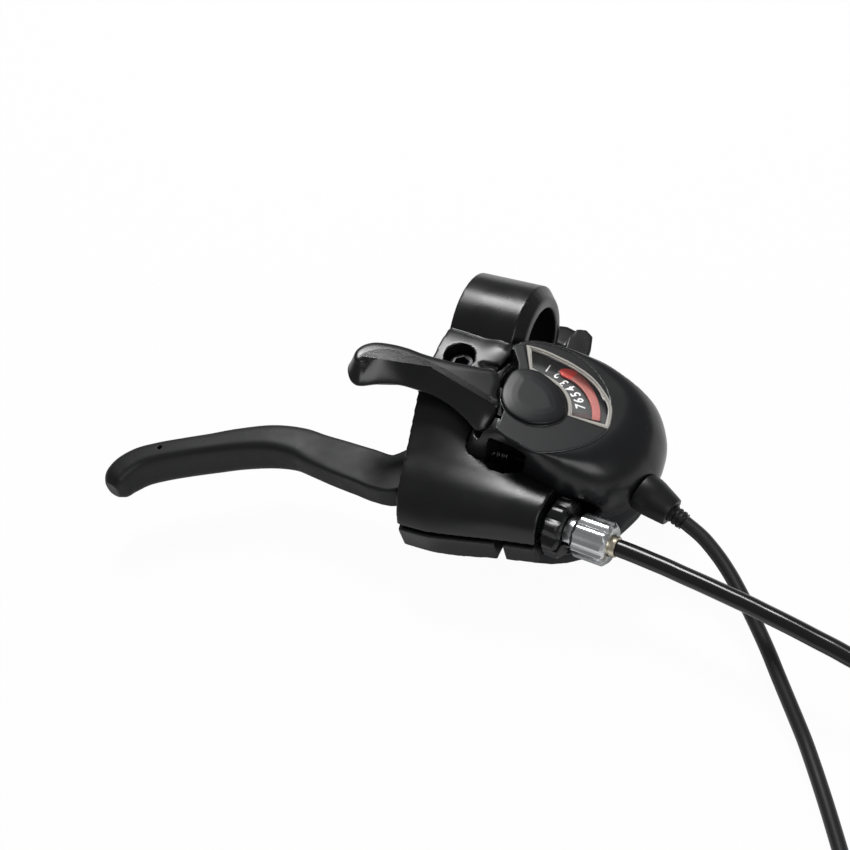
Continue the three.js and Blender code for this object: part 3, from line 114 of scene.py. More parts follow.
def skin(name, rows, material, crease=40):
    """A closed surface over a grid of points: row r, column c joins row r + 1 and column c + 1, columns close
    on themselves, and each end row is closed by a fan to its middle. UV is row and column as shares."""
    rows = np.asarray(rows, float)
    n, m = rows.shape[:2]
    r, c = (part.ravel() for part in np.meshgrid(np.arange(n - 1), np.arange(m), indexing="ij"))
    after = (c + 1) % m
    quads = np.stack((r * m + c, r * m + after, (r + 1) * m + after, (r + 1) * m + c), -1)
    around = np.arange(m)
    nxt = (around + 1) % m
    caps = np.vstack((
        np.stack((np.full(m, n * m), nxt, around), -1),
        np.stack((np.full(m, n * m + 1), (n - 1) * m + around, (n - 1) * m + nxt), -1),
    ))
    corners = np.vstack((rows.reshape(-1, 3), rows[0].mean(0), rows[-1].mean(0)))
    mesh = bpy.data.meshes.new(name)
    mesh.from_pydata(corners.tolist(), [], quads.tolist() + caps.tolist())
    wrap_quads = np.stack((r, c, r, c + 1, r + 1, c + 1, r + 1, c), -1).reshape(-1, 2) / (n - 1, m)
    ends = np.repeat((0.0, 1.0), m)
    wrap_caps = np.stack((ends, np.tile(around, 2), ends, np.tile(nxt, 2), ends, np.tile(around, 2)), -1)
    wrap_caps = wrap_caps.reshape(-1, 2) / (1, m)
    wrap = np.vstack((wrap_quads, wrap_caps)).astype(np.float32)
    mesh.uv_layers.new(name="wrap").data.foreach_set("uv", wrap.ravel())
    return link_piece(name, mesh, material, crease)


def tube_rows(line, radius, sides=48):
    """Circles of one radius, square to the line, with the first point of each on the level side."""
    ahead = np.gradient(line, axis=0)
    ahead /= np.linalg.norm(ahead, axis=1, keepdims=True)
    side = np.cross(ahead, (0, 0, 1))
    side /= np.linalg.norm(side, axis=1, keepdims=True)
    over = np.cross(side, ahead)
    turn = np.linspace(0, 2 * math.pi, sides, endpoint=False)[None, :, None]
    return line[:, None] + radius * (np.cos(turn) * side[:, None] - np.sin(turn) * over[:, None])


def material_of(name, colour, roughness, metallic=0.0, **plain):
    """A new material with its shader's plain values set; returns it with its tree and shader."""
    made = bpy.data.materials.new(name)
    made.use_nodes = True
    shader = made.node_tree.nodes["Principled BSDF"]
    shader.inputs["Base Color"].default_value = (*colour, 1)
    shader.inputs["Roughness"].default_value = roughness
    shader.inputs["Metallic"].default_value = metallic
    for socket, value in plain.items():
        shader.inputs[socket.replace("_", " ")].default_value = value
    return made, made.node_tree, shader


def node(tree, kind, links=(), **values):
    """Adds a shader node, sets its inputs or properties by name, and links (input, output) pairs into it."""
    made = tree.nodes.new("ShaderNode" + kind)
    for key, value in values.items():
        if not hasattr(made, key):
            made.inputs[key].default_value = value
        else:
            setattr(made, key, value)
    for socket, source in links:
        tree.links.new(source, made.inputs[socket])
    return made


def new_group(name, inputs, outputs):
    """An empty shader group with those named sockets: the one called Vector is a vector, and the others are
    numbers."""
    group = bpy.data.node_groups.new(name, "ShaderNodeTree")
    for direction, names in (("INPUT", inputs), ("OUTPUT", outputs)):
        for label in names:
            kind = "NodeSocketVector" if label == "Vector" else "NodeSocketFloat"
            group.interface.new_socket(name=label, in_out=direction, socket_type=kind)
    return group, group.nodes.new("NodeGroupInput"), group.nodes.new("NodeGroupOutput")


def grain_group():
    """Fine tooth and slow mottle: Height is noise at Scale, Tone is broad noise at a fortieth of Scale."""
    group, given, result = new_group("surface_grain", ("Vector", "Scale"), ("Height", "Tone"))
    place, scale = given.outputs["Vector"], given.outputs["Scale"]
    slower = node(group, "Math", [(0, scale)], operation="DIVIDE")
    slower.inputs[1].default_value = 40
    tooth = node(group, "TexNoise", [("Vector", place), ("Scale", scale)], Detail=3.0)
    broad = node(group, "TexNoise", [("Vector", place), ("Scale", slower.outputs[0])], Detail=2.0)
    group.links.new(tooth.outputs["Fac"], result.inputs["Height"])
    group.links.new(broad.outputs["Fac"], result.inputs["Tone"])
    return group


def wear_group():
    """Edge wear: 1 where the surface turns outwards sharply and a patchy noise agrees, 0 elsewhere."""
    group, given, result = new_group("edge_wear", ("Vector", "Start", "End"), ("Mask",))
    shape = node(group, "NewGeometry")
    patches = node(group, "TexNoise", [("Vector", given.outputs["Vector"])], Scale=900.0, Detail=4.0)
    sharp = node(
        group, "MapRange",
        [("Value", shape.outputs["Pointiness"]), (1, given.outputs["Start"]), (2, given.outputs["End"])],
    )
    patchy = node(group, "MapRange", [("Value", patches.outputs["Fac"])])
    patchy.inputs[1].default_value = 0.42
    patchy.inputs[2].default_value = 0.62
    both = node(group, "Math", [(0, sharp.outputs[0]), (1, patchy.outputs[0])], operation="MULTIPLY")
    group.links.new(both.outputs[0], result.inputs["Mask"])
    return group


surface_grain = grain_group()
edge_wear = wear_group()


def finished(name, colour, roughness, metallic=0.0, tooth=3000, depth=0.01, mottle=0.06, wear=0.4, **plain):
    """A moulded, coated or plated finish: tooth per metre sets the grain, depth in mm its height, mottle how
    far roughness and tone drift, wear how much lighter and smoother the edges are."""
    made, tree, shader = material_of(name, colour, roughness, metallic, **plain)
    place = node(tree, "TexCoord").outputs["Object"]
    grain = node(tree, "Group", node_tree=surface_grain)
    grain.inputs["Scale"].default_value = tooth
    tree.links.new(place, grain.inputs["Vector"])
    worn = node(tree, "Group", node_tree=edge_wear)
    worn.inputs["Start"].default_value = 0.53
    worn.inputs["End"].default_value = 0.62
    tree.links.new(place, worn.inputs["Vector"])
    drift = node(tree, "MapRange", [("Value", grain.outputs["Tone"])])
    for place_in, value in zip(range(1, 5), (0.3, 0.7, roughness - mottle, roughness + mottle)):
        drift.inputs[place_in].default_value = value
    smoother = node(tree, "Mix", [(0, worn.outputs["Mask"]), (2, drift.outputs[0])], data_type="FLOAT")
    smoother.inputs[3].default_value = roughness * 0.75
    tree.links.new(smoother.outputs[0], shader.inputs["Roughness"])
    tone = node(tree, "Mix", [(0, grain.outputs["Tone"])], data_type="RGBA")
    tone.inputs[6].default_value = (*(0.86 * c for c in colour), 1)
    tone.inputs[7].default_value = (*(1.14 * c for c in colour), 1)
    amount = node(tree, "Math", [(0, worn.outputs["Mask"])], operation="MULTIPLY")
    amount.inputs[1].default_value = wear
    edge = node(tree, "Mix", [(0, amount.outputs[0]), (6, tone.outputs[2])], data_type="RGBA")
    edge.inputs[7].default_value = (*(0.6 * c + 0.12 for c in colour), 1)
    tree.links.new(edge.outputs[2], shader.inputs["Base Color"])
    bump = node(tree, "Bump", [("Height", grain.outputs["Height"])], Strength=1.0, Distance=depth * mm)
    tree.links.new(bump.outputs["Normal"], shader.inputs["Normal"])
    return made


def stands_for(piece, name):
    """The piece replaces the solid of that name: it rides on the same body, and the solid is hidden."""
    record = frame["record"]
    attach(piece, next(body for body, nodes in record["behaviour"]["bodies"].items() if name in nodes))
    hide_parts(name)
    return piece


gloss_jacket = finished(
    "gloss_jacket", (0.008, 0.008, 0.009), 0.2,
    tooth=1500, depth=0.004, mottle=0.04, wear=0,
)
satin_silver = finished(
    "satin_silver", (0.72, 0.73, 0.74), 0.26, 1.0,
    tooth=2500, depth=0.003, mottle=0.07, wear=0.2,
)

brake_route = mm * np.array((
    (58.83, -56.84, -7.6), (63.8, -57.4, -7.6), (68.8, -58.1, -7.6), (73.7, -58.8, -7.6),
    (78.7, -59.7, -7.6), (83.6, -60.5, -7.6), (88.6, -61.4, -7.6), (93.5, -62.3, -7.6),
    (98.4, -63.2, -7.6), (103.4, -64.3, -7.6), (108.3, -65.4, -7.5), (113.1, -66.5, -7.5),
    (118, -67.7, -7.5), (122.9, -68.9, -7.4), (127.7, -70.2, -7.4), (132.6, -71.4, -7.3),
))
brake_casing_radius = 2.5 * mm
brake_path = smooth_line(brake_route, 240)
brake_rows = tube_rows(brake_path, brake_casing_radius)
brake_casing = stands_for(skin("brake_casing_jacket", brake_rows, gloss_jacket), "brake_casing")


def turned_rows(profile, origin, axis, sides=64):
    """A lathe form: profile rows (distance along the axis, radius) swept round the axis from the origin."""
    axis = np.asarray(axis, float) / np.linalg.norm(axis)
    side = np.cross(axis, (0, 0, 1) if abs(axis[2]) < 0.9 else (1, 0, 0))
    side /= np.linalg.norm(side)
    over = np.cross(side, axis)
    profile = np.asarray(profile, float)
    turn = np.linspace(0, 2 * math.pi, sides, endpoint=False)
    ring = np.cos(turn)[:, None] * side - np.sin(turn)[:, None] * over
    return np.asarray(origin) + profile[:, :1, None] * axis + profile[:, 1:, None] * ring


def end_cap(name, route, inner, outer, length):
    """A pressed cap on a casing's far end: a lathe form with a bore for the wire and two crimped rings. The
    places of the rings are shares of its length."""
    ahead = route[-1] - route[-2]
    lip, foot, crimp, crimp_share, point = 0.1, 0.3, 0.12, 0.03, 0.01
    profile = [(foot, point), (foot, outer - lip), (foot + 0.15, outer)]
    for near, far in ((0.26, 0.36), (0.45, 0.55)):
        profile += [(length * near, outer), (length * (near + crimp_share), outer - crimp)]
        profile += [(length * (far - crimp_share), outer - crimp), (length * far, outer)]
    profile += [(length * 0.68, outer), (length * 0.72, outer - lip), (length - foot, outer * 0.74)]
    profile += [(length, outer * 0.66), (length, inner + lip), (length - lip, inner)]
    profile += [(length - outer, inner), (length - outer, point)]
    return skin(name, turned_rows(mm * np.array(profile), route[-1], ahead), satin_silver, 35)


brake_cap = end_cap("brake_casing_cap", brake_route, inner=0.8, outer=3.0, length=7.0)
brake_end = stands_for(brake_cap, "brake_casing_end")

# Shift casing: a 4 mm jacket of satin black plastic over straight steel strands. It leaves the ribbed
# sleeve of the cable outlet, bends forward past the brake casing, and ends in its own pressed cap.
satin_jacket = finished(
    "satin_jacket", (0.014, 0.014, 0.015), 0.38,
    tooth=1800, depth=0.005, mottle=0.05, wear=0,
)
shift_route = mm * np.array((
    (72.26, -40.9, -11.04), (78, -43.2, -12.5), (83.3, -46.5, -14), (88.1, -50.4, -15.2),
    (92.6, -54.8, -16.3), (97, -59.4, -17.5), (101.2, -64, -18.7), (105.3, -68.8, -19.7),
    (109.2, -73.7, -20.7), (113.2, -78.6, -21.8), (117.2, -83.5, -22.9), (121.1, -88.4, -23.9),
    (124.8, -93.6, -24.5), (128.4, -98.9, -24.9), (131.9, -104.2, -25.3), (135.3, -109.5, -25.7),
    (138.7, -114.9, -26.1), (142, -120.4, -26.4),
))
shift_casing_radius = 2.05 * mm
shift_path = smooth_line(shift_route, 300)
shift_rows = tube_rows(shift_path, shift_casing_radius)
shift_casing = stands_for(skin("shift_casing_jacket", shift_rows, satin_jacket), "shift_casing")
shift_cap = end_cap("shift_casing_cap", shift_route, inner=0.8, outer=2.5, length=7.0)
shift_end = stands_for(shift_cap, "shift_casing_end")

# Floor and light: a plain white table that keeps a faint shadow, one lamp above on the left for the soft
# highlights along the top edges, a wide one from the right, and an even sky.
floor_mesh = bpy.data.meshes.new("table_top")
table_level, table_reach = cad_low[2] - 0.0004, 3
table_sides = ((-1, -1), (1, -1), (1, 1), (-1, 1))
table_corners = [(x * table_reach, y * table_reach, table_level) for x, y in table_sides]
floor_mesh.from_pydata(table_corners, [], [(0, 1, 2, 3)])
pale, tree, shader = material_of("pale_table", (0.9, 0.9, 0.9), 0.9)
rays = node(tree, "LightPath")
direct, through = rays.outputs["Is Camera Ray"], rays.outputs["Is Transmission Ray"]
seen = node(tree, "Math", [(0, direct), (1, through)], operation="MAXIMUM")
share = node(tree, "Math", [(0, seen.outputs[0])], operation="MULTIPLY")
share.inputs[1].default_value = 0.96
white = node(tree, "Emission", Color=(1, 1, 1, 1), Strength=1.0)
blend = node(tree, "MixShader", [(0, share.outputs[0]), (1, shader.outputs[0]), (2, white.outputs[0])])
tree.links.new(blend.outputs[0], tree.nodes["Material Output"].inputs["Surface"])
floor_mesh.materials.append(pale)
floor = bpy.data.objects.new("table_top", floor_mesh)
bpy.context.scene.collection.objects.link(floor)


def lamp(name, energy, size, place, target):
    """A square lamp of that width and power at a place, facing the target."""
    data = bpy.data.lights.new(name, "AREA")
    data.energy = energy
    data.size = size
    made = bpy.data.objects.new(name, data)
    place, target = np.asarray(place, float), np.asarray(target, float)
    made.location = place
    back = (place - target) / np.linalg.norm(place - target)
    side = np.cross((0, 0, 1), back)
    side /= np.linalg.norm(side)
    over = np.cross(back, side)
    made.rotation_euler = Matrix([[side[i], over[i], back[i]] for i in range(3)]).to_euler()
    bpy.context.scene.collection.objects.link(made)


lamp("overhead_left", energy=6.0, size=0.3, place=(-0.21, 0.41, 0.75), target=(0.0, -0.03, 0))
lamp("front_right", energy=2.0, size=0.45, place=(0.6, -0.45, 0.55), target=(0.03, -0.03, 0))
sky = bpy.data.worlds.new("even_sky")
bpy.context.scene.world = sky
sky.use_nodes = True
sky.node_tree.nodes["Background"].inputs["Color"].default_value = (1, 1, 1, 1)
sky.node_tree.nodes["Background"].inputs["Strength"].default_value = 0.2

# Bracket: one glass-filled nylon moulding with the clamp collar, the hood over the lever pivot, the nose and
# the slotted lower arm. The mould leaves soft edges, a fine matt grain and a smoothly swept hood.
nylon = finished(
    "grained_nylon", (0.0048, 0.005, 0.0055), 0.3,
    tooth=3500, depth=0.006, mottle=0.06, wear=0.22, Specular_IOR_Level=0.5,
)


def joined_corners(name):
    """A solid's loose triangles with equal corners made one: corners are matched on a tenth of a micron."""
    mesh = frame["nodes"][name].data
    places = np.zeros(len(mesh.vertices) * 3, np.float32)
    mesh.vertices.foreach_get("co", places)
    index = np.zeros(len(mesh.loops), np.int64)
    mesh.loops.foreach_get("vertex_index", index)
    keys = np.round(places.reshape(-1, 3) * 1e7).astype(np.int64)
    keys, first, same = np.unique(keys, axis=0, return_index=True, return_inverse=True)
    faces = same.ravel()[index].reshape(-1, 3)
    whole = (faces[:, 0] != faces[:, 1]) & (faces[:, 1] != faces[:, 2]) & (faces[:, 2] != faces[:, 0])
    made = bpy.data.meshes.new(name)
    made.from_pydata(places.reshape(-1, 3)[first].tolist(), [], faces[whole].tolist())
    return made


def settle(piece):
    """Makes the mesh that the modifiers give the piece's own, and clears them."""
    graph = bpy.context.evaluated_depsgraph_get()
    piece.data = bpy.data.meshes.new_from_object(piece.evaluated_get(graph))
    piece.modifiers.clear()


def remoulded(piece, cell, rounds, forms=(), hold=0.8):
    """The surface is laid out again in even cells of that size in mm. Corners within the hold in mm of a true
    form are drawn onto it. Each corner then moves to the mean of its neighbours a few times."""
    even = piece.modifiers.new("even_cells", "REMESH")
    even.mode = "VOXEL"
    even.voxel_size = cell * mm
    settle(piece)
    targets = [skin("true_form", rows, piece.data.materials[0]) for rows in forms]
    for target in targets:
        near = piece.vertex_groups.new(name="near_form")
        near.add(range(len(piece.data.vertices)), 1.0, "REPLACE")
        weigh = piece.modifiers.new("weigh", "VERTEX_WEIGHT_PROXIMITY")
        weigh.vertex_group = near.name
        weigh.target = target
        weigh.proximity_mode = "GEOMETRY"
        weigh.proximity_geometry = {"FACE"}
        weigh.min_dist = hold * mm
        weigh.max_dist = hold * 0.6 * mm
        draw = piece.modifiers.new("draw_on", "SHRINKWRAP")
        draw.wrap_method = "NEAREST_SURFACEPOINT"
        draw.target = target
        draw.vertex_group = near.name
    soft = piece.modifiers.new("soft_edges", "SMOOTH")
    soft.factor = 0.5
    soft.iterations = rounds
    settle(piece)
    for target in targets:
        bpy.data.objects.remove(target)
    piece.vertex_groups.clear()
    piece.data.polygons.foreach_set("use_smooth", np.ones(len(piece.data.polygons), bool))
    return piece


def moulded_from(name, material, cell=0.35, rounds=5, forms=(), hold=0.8):
    """The solid of that name as it leaves the mould, in place of the solid."""
    piece = link_piece(name + "_moulding", joined_corners(name), material, 180)
    return stands_for(remoulded(piece, cell, rounds, forms, hold), name)


def machined_from(name, material, edge=0.12):
    """The solid with its flat faces made whole and a small round of that width in mm on every sharp edge."""
    piece = link_piece(name + "_machined", joined_corners(name), material, 180)
    whole = piece.modifiers.new("whole_faces", "DECIMATE")
    whole.decimate_type = "DISSOLVE"
    whole.angle_limit = math.radians(0.5)
    round_edge = piece.modifiers.new("broken_edges", "BEVEL")
    round_edge.width = edge * mm
    round_edge.segments = 2
    round_edge.limit_method = "ANGLE"
    round_edge.angle_limit = math.radians(32)
    settle(piece)
    piece.data.polygons.foreach_set("use_smooth", np.ones(len(piece.data.polygons), bool))
    piece.data.set_sharp_from_angle(angle=math.radians(30))
    return stands_for(piece, name)


def dress(names, material):
    """Gives solids that stay as they are their material."""
    for name in names:
        for held in frame["nodes"][name].material_slots:
            held.material = material


def eased(stops, values, at):
    """Cubic through values at uneven stops, with the slope at each stop taken from its two neighbours."""
    stops, values = np.asarray(stops, float), np.asarray(values, float)
    slope = np.gradient(values, stops, axis=0)
    i = np.clip(np.searchsorted(stops, at, side="right") - 1, 0, len(stops) - 2)
    wide = stops[i + 1] - stops[i]
    t = ((at - stops[i]) / wide).reshape(-1, *[1] * (values.ndim - 1))
    wide = wide.reshape(t.shape)
    return (
        (2 * t**3 - 3 * t**2 + 1) * values[i] + (t**3 - 2 * t**2 + t) * wide * slope[i]
        + (3 * t**2 - 2 * t**3) * values[i + 1] + (t**3 - t**2) * wide * slope[i + 1]
    )


hood_reach = 70.0
hood_stations = (0.0, 0.22, 0.46, 0.7, 1.0)
hood_outlines = np.array((
    (
        (-0.985, -0.249), (-0.997, -0.12), (-0.985, -0.07), (-0.935, 0.004), (-0.855, 0.046),
        (-0.74, 0.078), (-0.61, 0.122), (-0.485, 0.168), (-0.32, 0.2), (-0.2, 0.2), (-0.09, 0.17),
    ),
    (
        (-0.985, -0.249), (-0.995, -0.12), (-0.98, -0.066), (-0.93, 0.006), (-0.85, 0.046),
        (-0.74, 0.074), (-0.61, 0.112), (-0.485, 0.154), (-0.32, 0.19), (-0.2, 0.19), (-0.09, 0.16),
    ),
    (
        (-0.965, -0.249), (-0.972, -0.12), (-0.96, -0.064), (-0.915, 0.008), (-0.845, 0.045),
        (-0.74, 0.066), (-0.61, 0.084), (-0.485, 0.12), (-0.32, 0.16), (-0.2, 0.17), (-0.16, 0.12),
    ),
    (
        (-0.94, -0.236), (-0.945, -0.12), (-0.935, -0.064), (-0.9, 0.004), (-0.835, 0.04), (-0.75, 0.05),
        (-0.67, 0.046), (-0.6, 0.03), (-0.54, 0.01), (-0.5, -0.02), (-0.48, -0.05),
    ),
    (
        (-0.915, -0.222), (-0.918, -0.13), (-0.91, -0.075), (-0.875, -0.004), (-0.82, 0.03),
        (-0.76, 0.034), (-0.71, 0.022), (-0.665, 0.004), (-0.635, -0.02), (-0.615, -0.05),
        (-0.605, -0.08),
    ),
))
hood_left, hood_length, nose_slant, lip_slant, slant_reach = -10, 46, 6, 3, 35


def hood_rows():
    """The hood as a sheet swept along X that doubles back on itself. At each share of its length the
    outline is eased between the stations, smoothed through its knots, and slanted forwards at the nose."""
    along = np.linspace(0, 1, 90)
    knots = eased(hood_stations, hood_outlines, along)
    rows = []
    for share_at, outline in zip(along, knots):
        y, z = (smooth_line(np.c_[outline, np.zeros(len(outline))], 140)[:, :2] * hood_reach).T
        forward = np.clip((-slant_reach - y) / slant_reach, 0, 1)
        slant = nose_slant * forward * (1 - share_at) + lip_slant * share_at * (1 - forward)
        x = hood_left + hood_length * share_at + slant
        rows.append(np.stack((x, y, z), -1))
    rows = np.array(rows)
    return np.concatenate((rows, rows[:, ::-1]), 1) * mm


collar_radius, collar_right, collar_run_out = 17.5, 10, -14


def collar_rows():
    """The collar's round outside: a sheet that starts past its outer end, runs along X and doubles back."""
    turn = np.linspace(0, 2 * math.pi, 240, endpoint=False)
    there = np.linspace(collar_run_out, collar_right, 30)
    back = np.linspace(collar_right, collar_run_out, 30)
    x = np.concatenate((there, back))
    ring = np.stack((0 * turn, collar_radius * np.cos(turn), collar_radius * np.sin(turn)), -1)
    return (x[:, None, None] * (1, 0, 0) + ring) * mm


moulded_from("bracket", nylon, cell=0.47, rounds=5, forms=[hood_rows(), collar_rows()])

# Clamp bolt and nut: a blackened M5 socket screw, and the plated nut that it draws up through the lug under
# the collar.
black_steel = finished(
    "black_steel", (0.03, 0.03, 0.032), 0.34, 0.9,
    tooth=4000, depth=0.004, mottle=0.06, wear=0.5,
)
zinc = finished("zinc_plate", (0.55, 0.56, 0.57), 0.32, 1.0, tooth=3000, depth=0.003, mottle=0.08, wear=0.2)
machined_from("clamp_bolt", black_steel)
dress(("clamp_nut",), zinc)

# Brake lever: forged aluminium with a matt black powder coat, on a plated pin with its return spring. The
# brake wire's nipple sits in its boss and the wire runs from there to the adjuster.
lever_coat = finished(
    "powder_coat", (0.0085, 0.0088, 0.0096), 0.5,
    tooth=5200, depth=0.014, mottle=0.05, wear=0.3, Specular_IOR_Level=0.34,
)
lever_stations = np.array((
    (-1, -2, 11, 8.4, 0.9), (-3.5, -10, 12.8, 8.4, 0.9), (-7.5, -18.8, 14.2, 8.4, 0.9),
    (-14.5, -24.2, 13.4, 8.4, 0.86), (-24, -23.9, 12.8, 8.5, 0.82), (-33, -23.3, 12.2, 8.7, 0.78),
    (-40, -22.7, 11.6, 9.2, 0.66), (-46, -22.2, 11, 10.8, 0.56), (-54.4, -23.6, 10.1, 12.6, 0.5),
    (-64.5, -27.7, 8.8, 13, 0.5), (-71.6, -31.5, 8.1, 13, 0.5), (-79, -35.4, 7.8, 13, 0.5),
    (-86.2, -39.5, 7.9, 12.8, 0.5), (-91.4, -43.3, 8.4, 12.4, 0.46), (-94.5, -47.8, 8.7, 11.6, 0.4),
    (-95.5, -51.8, 7.5, 9.8, 0.34), (-95.8, -53.7, 4.8, 6.4, 0.3),
))
pivot_at = (2, -31, -7.6)


def lever_rows():
    """The lever as rounded boxes along its line. Each section is a superellipse of the width, height and
    squareness there, and all are eased between the stations (x, y, width, height, squareness)."""
    steps = np.linalg.norm(np.diff(lever_stations[:, :2], axis=0), axis=1)
    knot = np.concatenate(([0], np.cumsum(np.sqrt(steps))))
    at = np.linspace(0, knot[-1], 170)
    x, y, wide, high, square = eased(knot, lever_stations, at).T
    middle = np.stack((pivot_at[0] + x, pivot_at[1] + y, np.full(len(x), pivot_at[2])), -1)
    ahead = np.gradient(middle, axis=0)
    side = np.stack((-ahead[:, 1], ahead[:, 0], np.zeros(len(x))), -1)
    side /= np.linalg.norm(side, axis=1, keepdims=True)
    turn = np.linspace(0, 2 * math.pi, 96, endpoint=False)[None, :]
    bend = 1 - square[:, None]
    over = np.sign(np.cos(turn)) * np.abs(np.cos(turn)) ** bend * wide[:, None] / 2
    up = np.sign(np.sin(turn)) * np.abs(np.sin(turn)) ** bend * high[:, None] / 2
    return mm * (middle[:, None] + over[..., None] * side[:, None] + up[..., None] * np.array((0, 0, 1.0)))


moulded_from("brake_lever", lever_coat, cell=0.36, rounds=4, forms=[lever_rows()], hold=1.1)
dress(("lever_pivot_pin", "lever_spring", "brake_wire", "brake_wire_nipple"), zinc)

# Reach screw: a black steel screw turned in the bracket, coloured mid grey in place of black, which paints
# the highlights on its head and threads. It sits at the bottom of the open pocket that a driver goes into.
screw_steel_painted_highlight = finished(
    "screw_steel_painted_highlight", (0.11, 0.11, 0.115), 0.3, 1.0,
    tooth=3000, depth=0.004, mottle=0.08, wear=0.3,
)
machined_from("reach_screw", screw_steel_painted_highlight, edge=0.06)

# Lock ring, barrel adjuster and ferrule: a scalloped black ring, a fluted and slotted barrel of bright
# aluminium, and the pale plated cap that seats the casing in it.
ring_black = finished(
    "ring_black", (0.007, 0.0072, 0.008), 0.26,
    tooth=2200, depth=0.003, mottle=0.04, wear=0.15, Specular_IOR_Level=0.45,
)
champagne = finished(
    "champagne_plate", (0.72, 0.66, 0.52), 0.3, 1.0,
    tooth=2500, depth=0.003, mottle=0.06, wear=0.1,
)
machined_from("lock_ring", ring_black, edge=0.25)
machined_from("barrel_adjuster", satin_silver, edge=0.15)
machined_from("brake_ferrule", champagne, edge=0.15)

# Ratchet parts inside the dome: the spool is natural acetal. The plates, the pawls, the axle, its nut, the
# spring and the wire are plated steel.
acetal = finished("natural_acetal", (0.68, 0.66, 0.6), 0.45, tooth=2500, depth=0.004, wear=0)
dress(("base_plate", "drive_plate", "holding_pawl", "drive_pawl"), zinc)
dress(("main_axle", "axle_nut", "thumb_spring", "shift_wire"), zinc)
dress(("cable_spool",), acetal)

# Shift housing: the dome of the unit, moulded in black with a soft gloss, open below. Its axis leans inboard
# and a little back, and its outline at each level is a run of radii round that axis.
dome_black = finished(
    "dome_black", (0.0062, 0.0066, 0.0078), 0.26,
    tooth=2200, depth=0.004, mottle=0.05, wear=0.18, Specular_IOR_Level=0.5,
)
lean, tip = math.radians(14), math.radians(-2)
lean_turn = np.array(((math.cos(lean), 0, math.sin(lean)), (0, 1, 0), (-math.sin(lean), 0, math.cos(lean))))
tip_turn = np.array(((1, 0, 0), (0, math.cos(tip), -math.sin(tip)), (0, math.sin(tip), math.cos(tip))))
unit_turn = lean_turn @ tip_turn
unit_middle = np.array((26, -31.9, 14.2))
pod_reach = 40.0
dome_height = 16
rim_shares = (
    (-150, 0.3), (-120, 0.34), (-100, 0.348), (-88, 0.348), (-67, 0.395), (-40, 0.436), (-19, 0.49),
    (-4, 0.54), (12, 0.6), (31, 0.655), (56, 0.6), (75, 0.575), (95, 0.565), (122, 0.565), (140, 0.46),
    (160, 0.36), (185, 0.33),
)
skirt_shares = (
    (-150, 0.42), (-133, 0.49), (-122, 0.46), (-112, 0.4), (-100, 0.36), (-88, 0.36), (-72, 0.41),
    (-60, 0.48), (-45, 0.61), (-23, 0.84), (0, 0.97), (12, 1), (22, 1), (38, 0.95), (56, 0.84),
    (75, 0.69), (95, 0.6), (118, 0.575), (140, 0.48), (175, 0.375),
)


def on_unit(places):
    """From the unit's own millimetres, with W along its axis, to the object's metres."""
    return (unit_middle + np.asarray(places, float) @ unit_turn.T) * mm


round_angles = np.linspace(-180, 180, 300, endpoint=False)


def round_radius(shares):
    """Radius at each of the round angles in degrees, eased between neighbouring shares of a
    closed outline. The slope at each share is half the difference of its two neighbours."""
    stops = np.array([a for a, _ in shares], float)
    value = np.array([r for _, r in shares], float)
    stops = np.append(stops, stops[0] + 360)
    value = np.concatenate((value[-1:], value, value[:2]))
    here = (round_angles - stops[0]) % 360 + stops[0]
    i = np.clip(np.searchsorted(stops, here, side="right") - 1, 0, len(stops) - 2)
    t = (here - stops[i]) / (stops[i + 1] - stops[i])
    before, near, far, after = (value[i + k] for k in range(4))
    rise0, rise1 = (far - before) / 2, (after - near) / 2
    return pod_reach * (
        (2 * t**3 - 3 * t**2 + 1) * near + (t**3 - 2 * t**2 + t) * rise0
        + (3 * t**2 - 2 * t**3) * far + (t**3 - t**2) * rise1
    )


def round_rows(radii, levels):
    """Closed rings round the unit's axis, one for each level, from a table of radii."""
    turn = np.radians(round_angles)
    heights = np.broadcast_to(levels[:, None], radii.shape)
    return on_unit(np.stack((radii * np.cos(turn), radii * np.sin(turn), heights), -1))


def dome_rows():
    """The dome: from the rim to the skirt every upright section is a quarter of an ellipse."""
    drop = np.append(np.linspace(0, 1, 60) ** 2, 1.6)
    bulge = np.sqrt(1 - (1 - np.minimum(drop, 1)) ** 2)[:, None]
    rim, skirt = round_radius(rim_shares), round_radius(skirt_shares)
    return round_rows(rim + (skirt - rim) * bulge, -dome_height * drop)


moulded_from("shift_housing", dome_black, cell=0.38, rounds=4, forms=[dome_rows()], hold=1.0)

# Bottom cover: a navy-black shell that closes the unit below, drawn in at the waist and full at the foot, and
# its three plated screws.
cover_black = finished(
    "cover_black", (0.006, 0.0068, 0.0095), 0.3,
    tooth=2200, depth=0.004, mottle=0.05, wear=0.15, Specular_IOR_Level=0.34,
)
waist_shares = (
    (-150, 0.16), (-120, 0.2), (-90, 0.32), (-68, 0.42), (-45, 0.62), (-30, 0.77), (-12, 0.88), (5, 0.97),
    (22, 0.97), (45, 0.84), (68, 0.66), (95, 0.5), (125, 0.34), (165, 0.2),
)
flare_shares = (
    (-150, 0.16), (-120, 0.2), (-90, 0.34), (-68, 0.46), (-45, 0.7), (-30, 0.82), (-12, 0.9), (5, 0.97),
    (22, 0.96), (45, 0.84), (68, 0.68), (95, 0.52), (125, 0.34), (165, 0.2),
)
foot_shares = (
    (-150, 0.2), (-120, 0.36), (-90, 0.62), (-68, 0.78), (-45, 0.86), (-30, 0.88), (-12, 0.9), (5, 0.95),
    (22, 0.92), (45, 0.8), (68, 0.66), (95, 0.5), (125, 0.36), (165, 0.24),
)
cover_levels = ((-8, waist_shares), (-20.8, waist_shares), (-25.2, flare_shares), (-28, foot_shares))
cover_run_out = -45


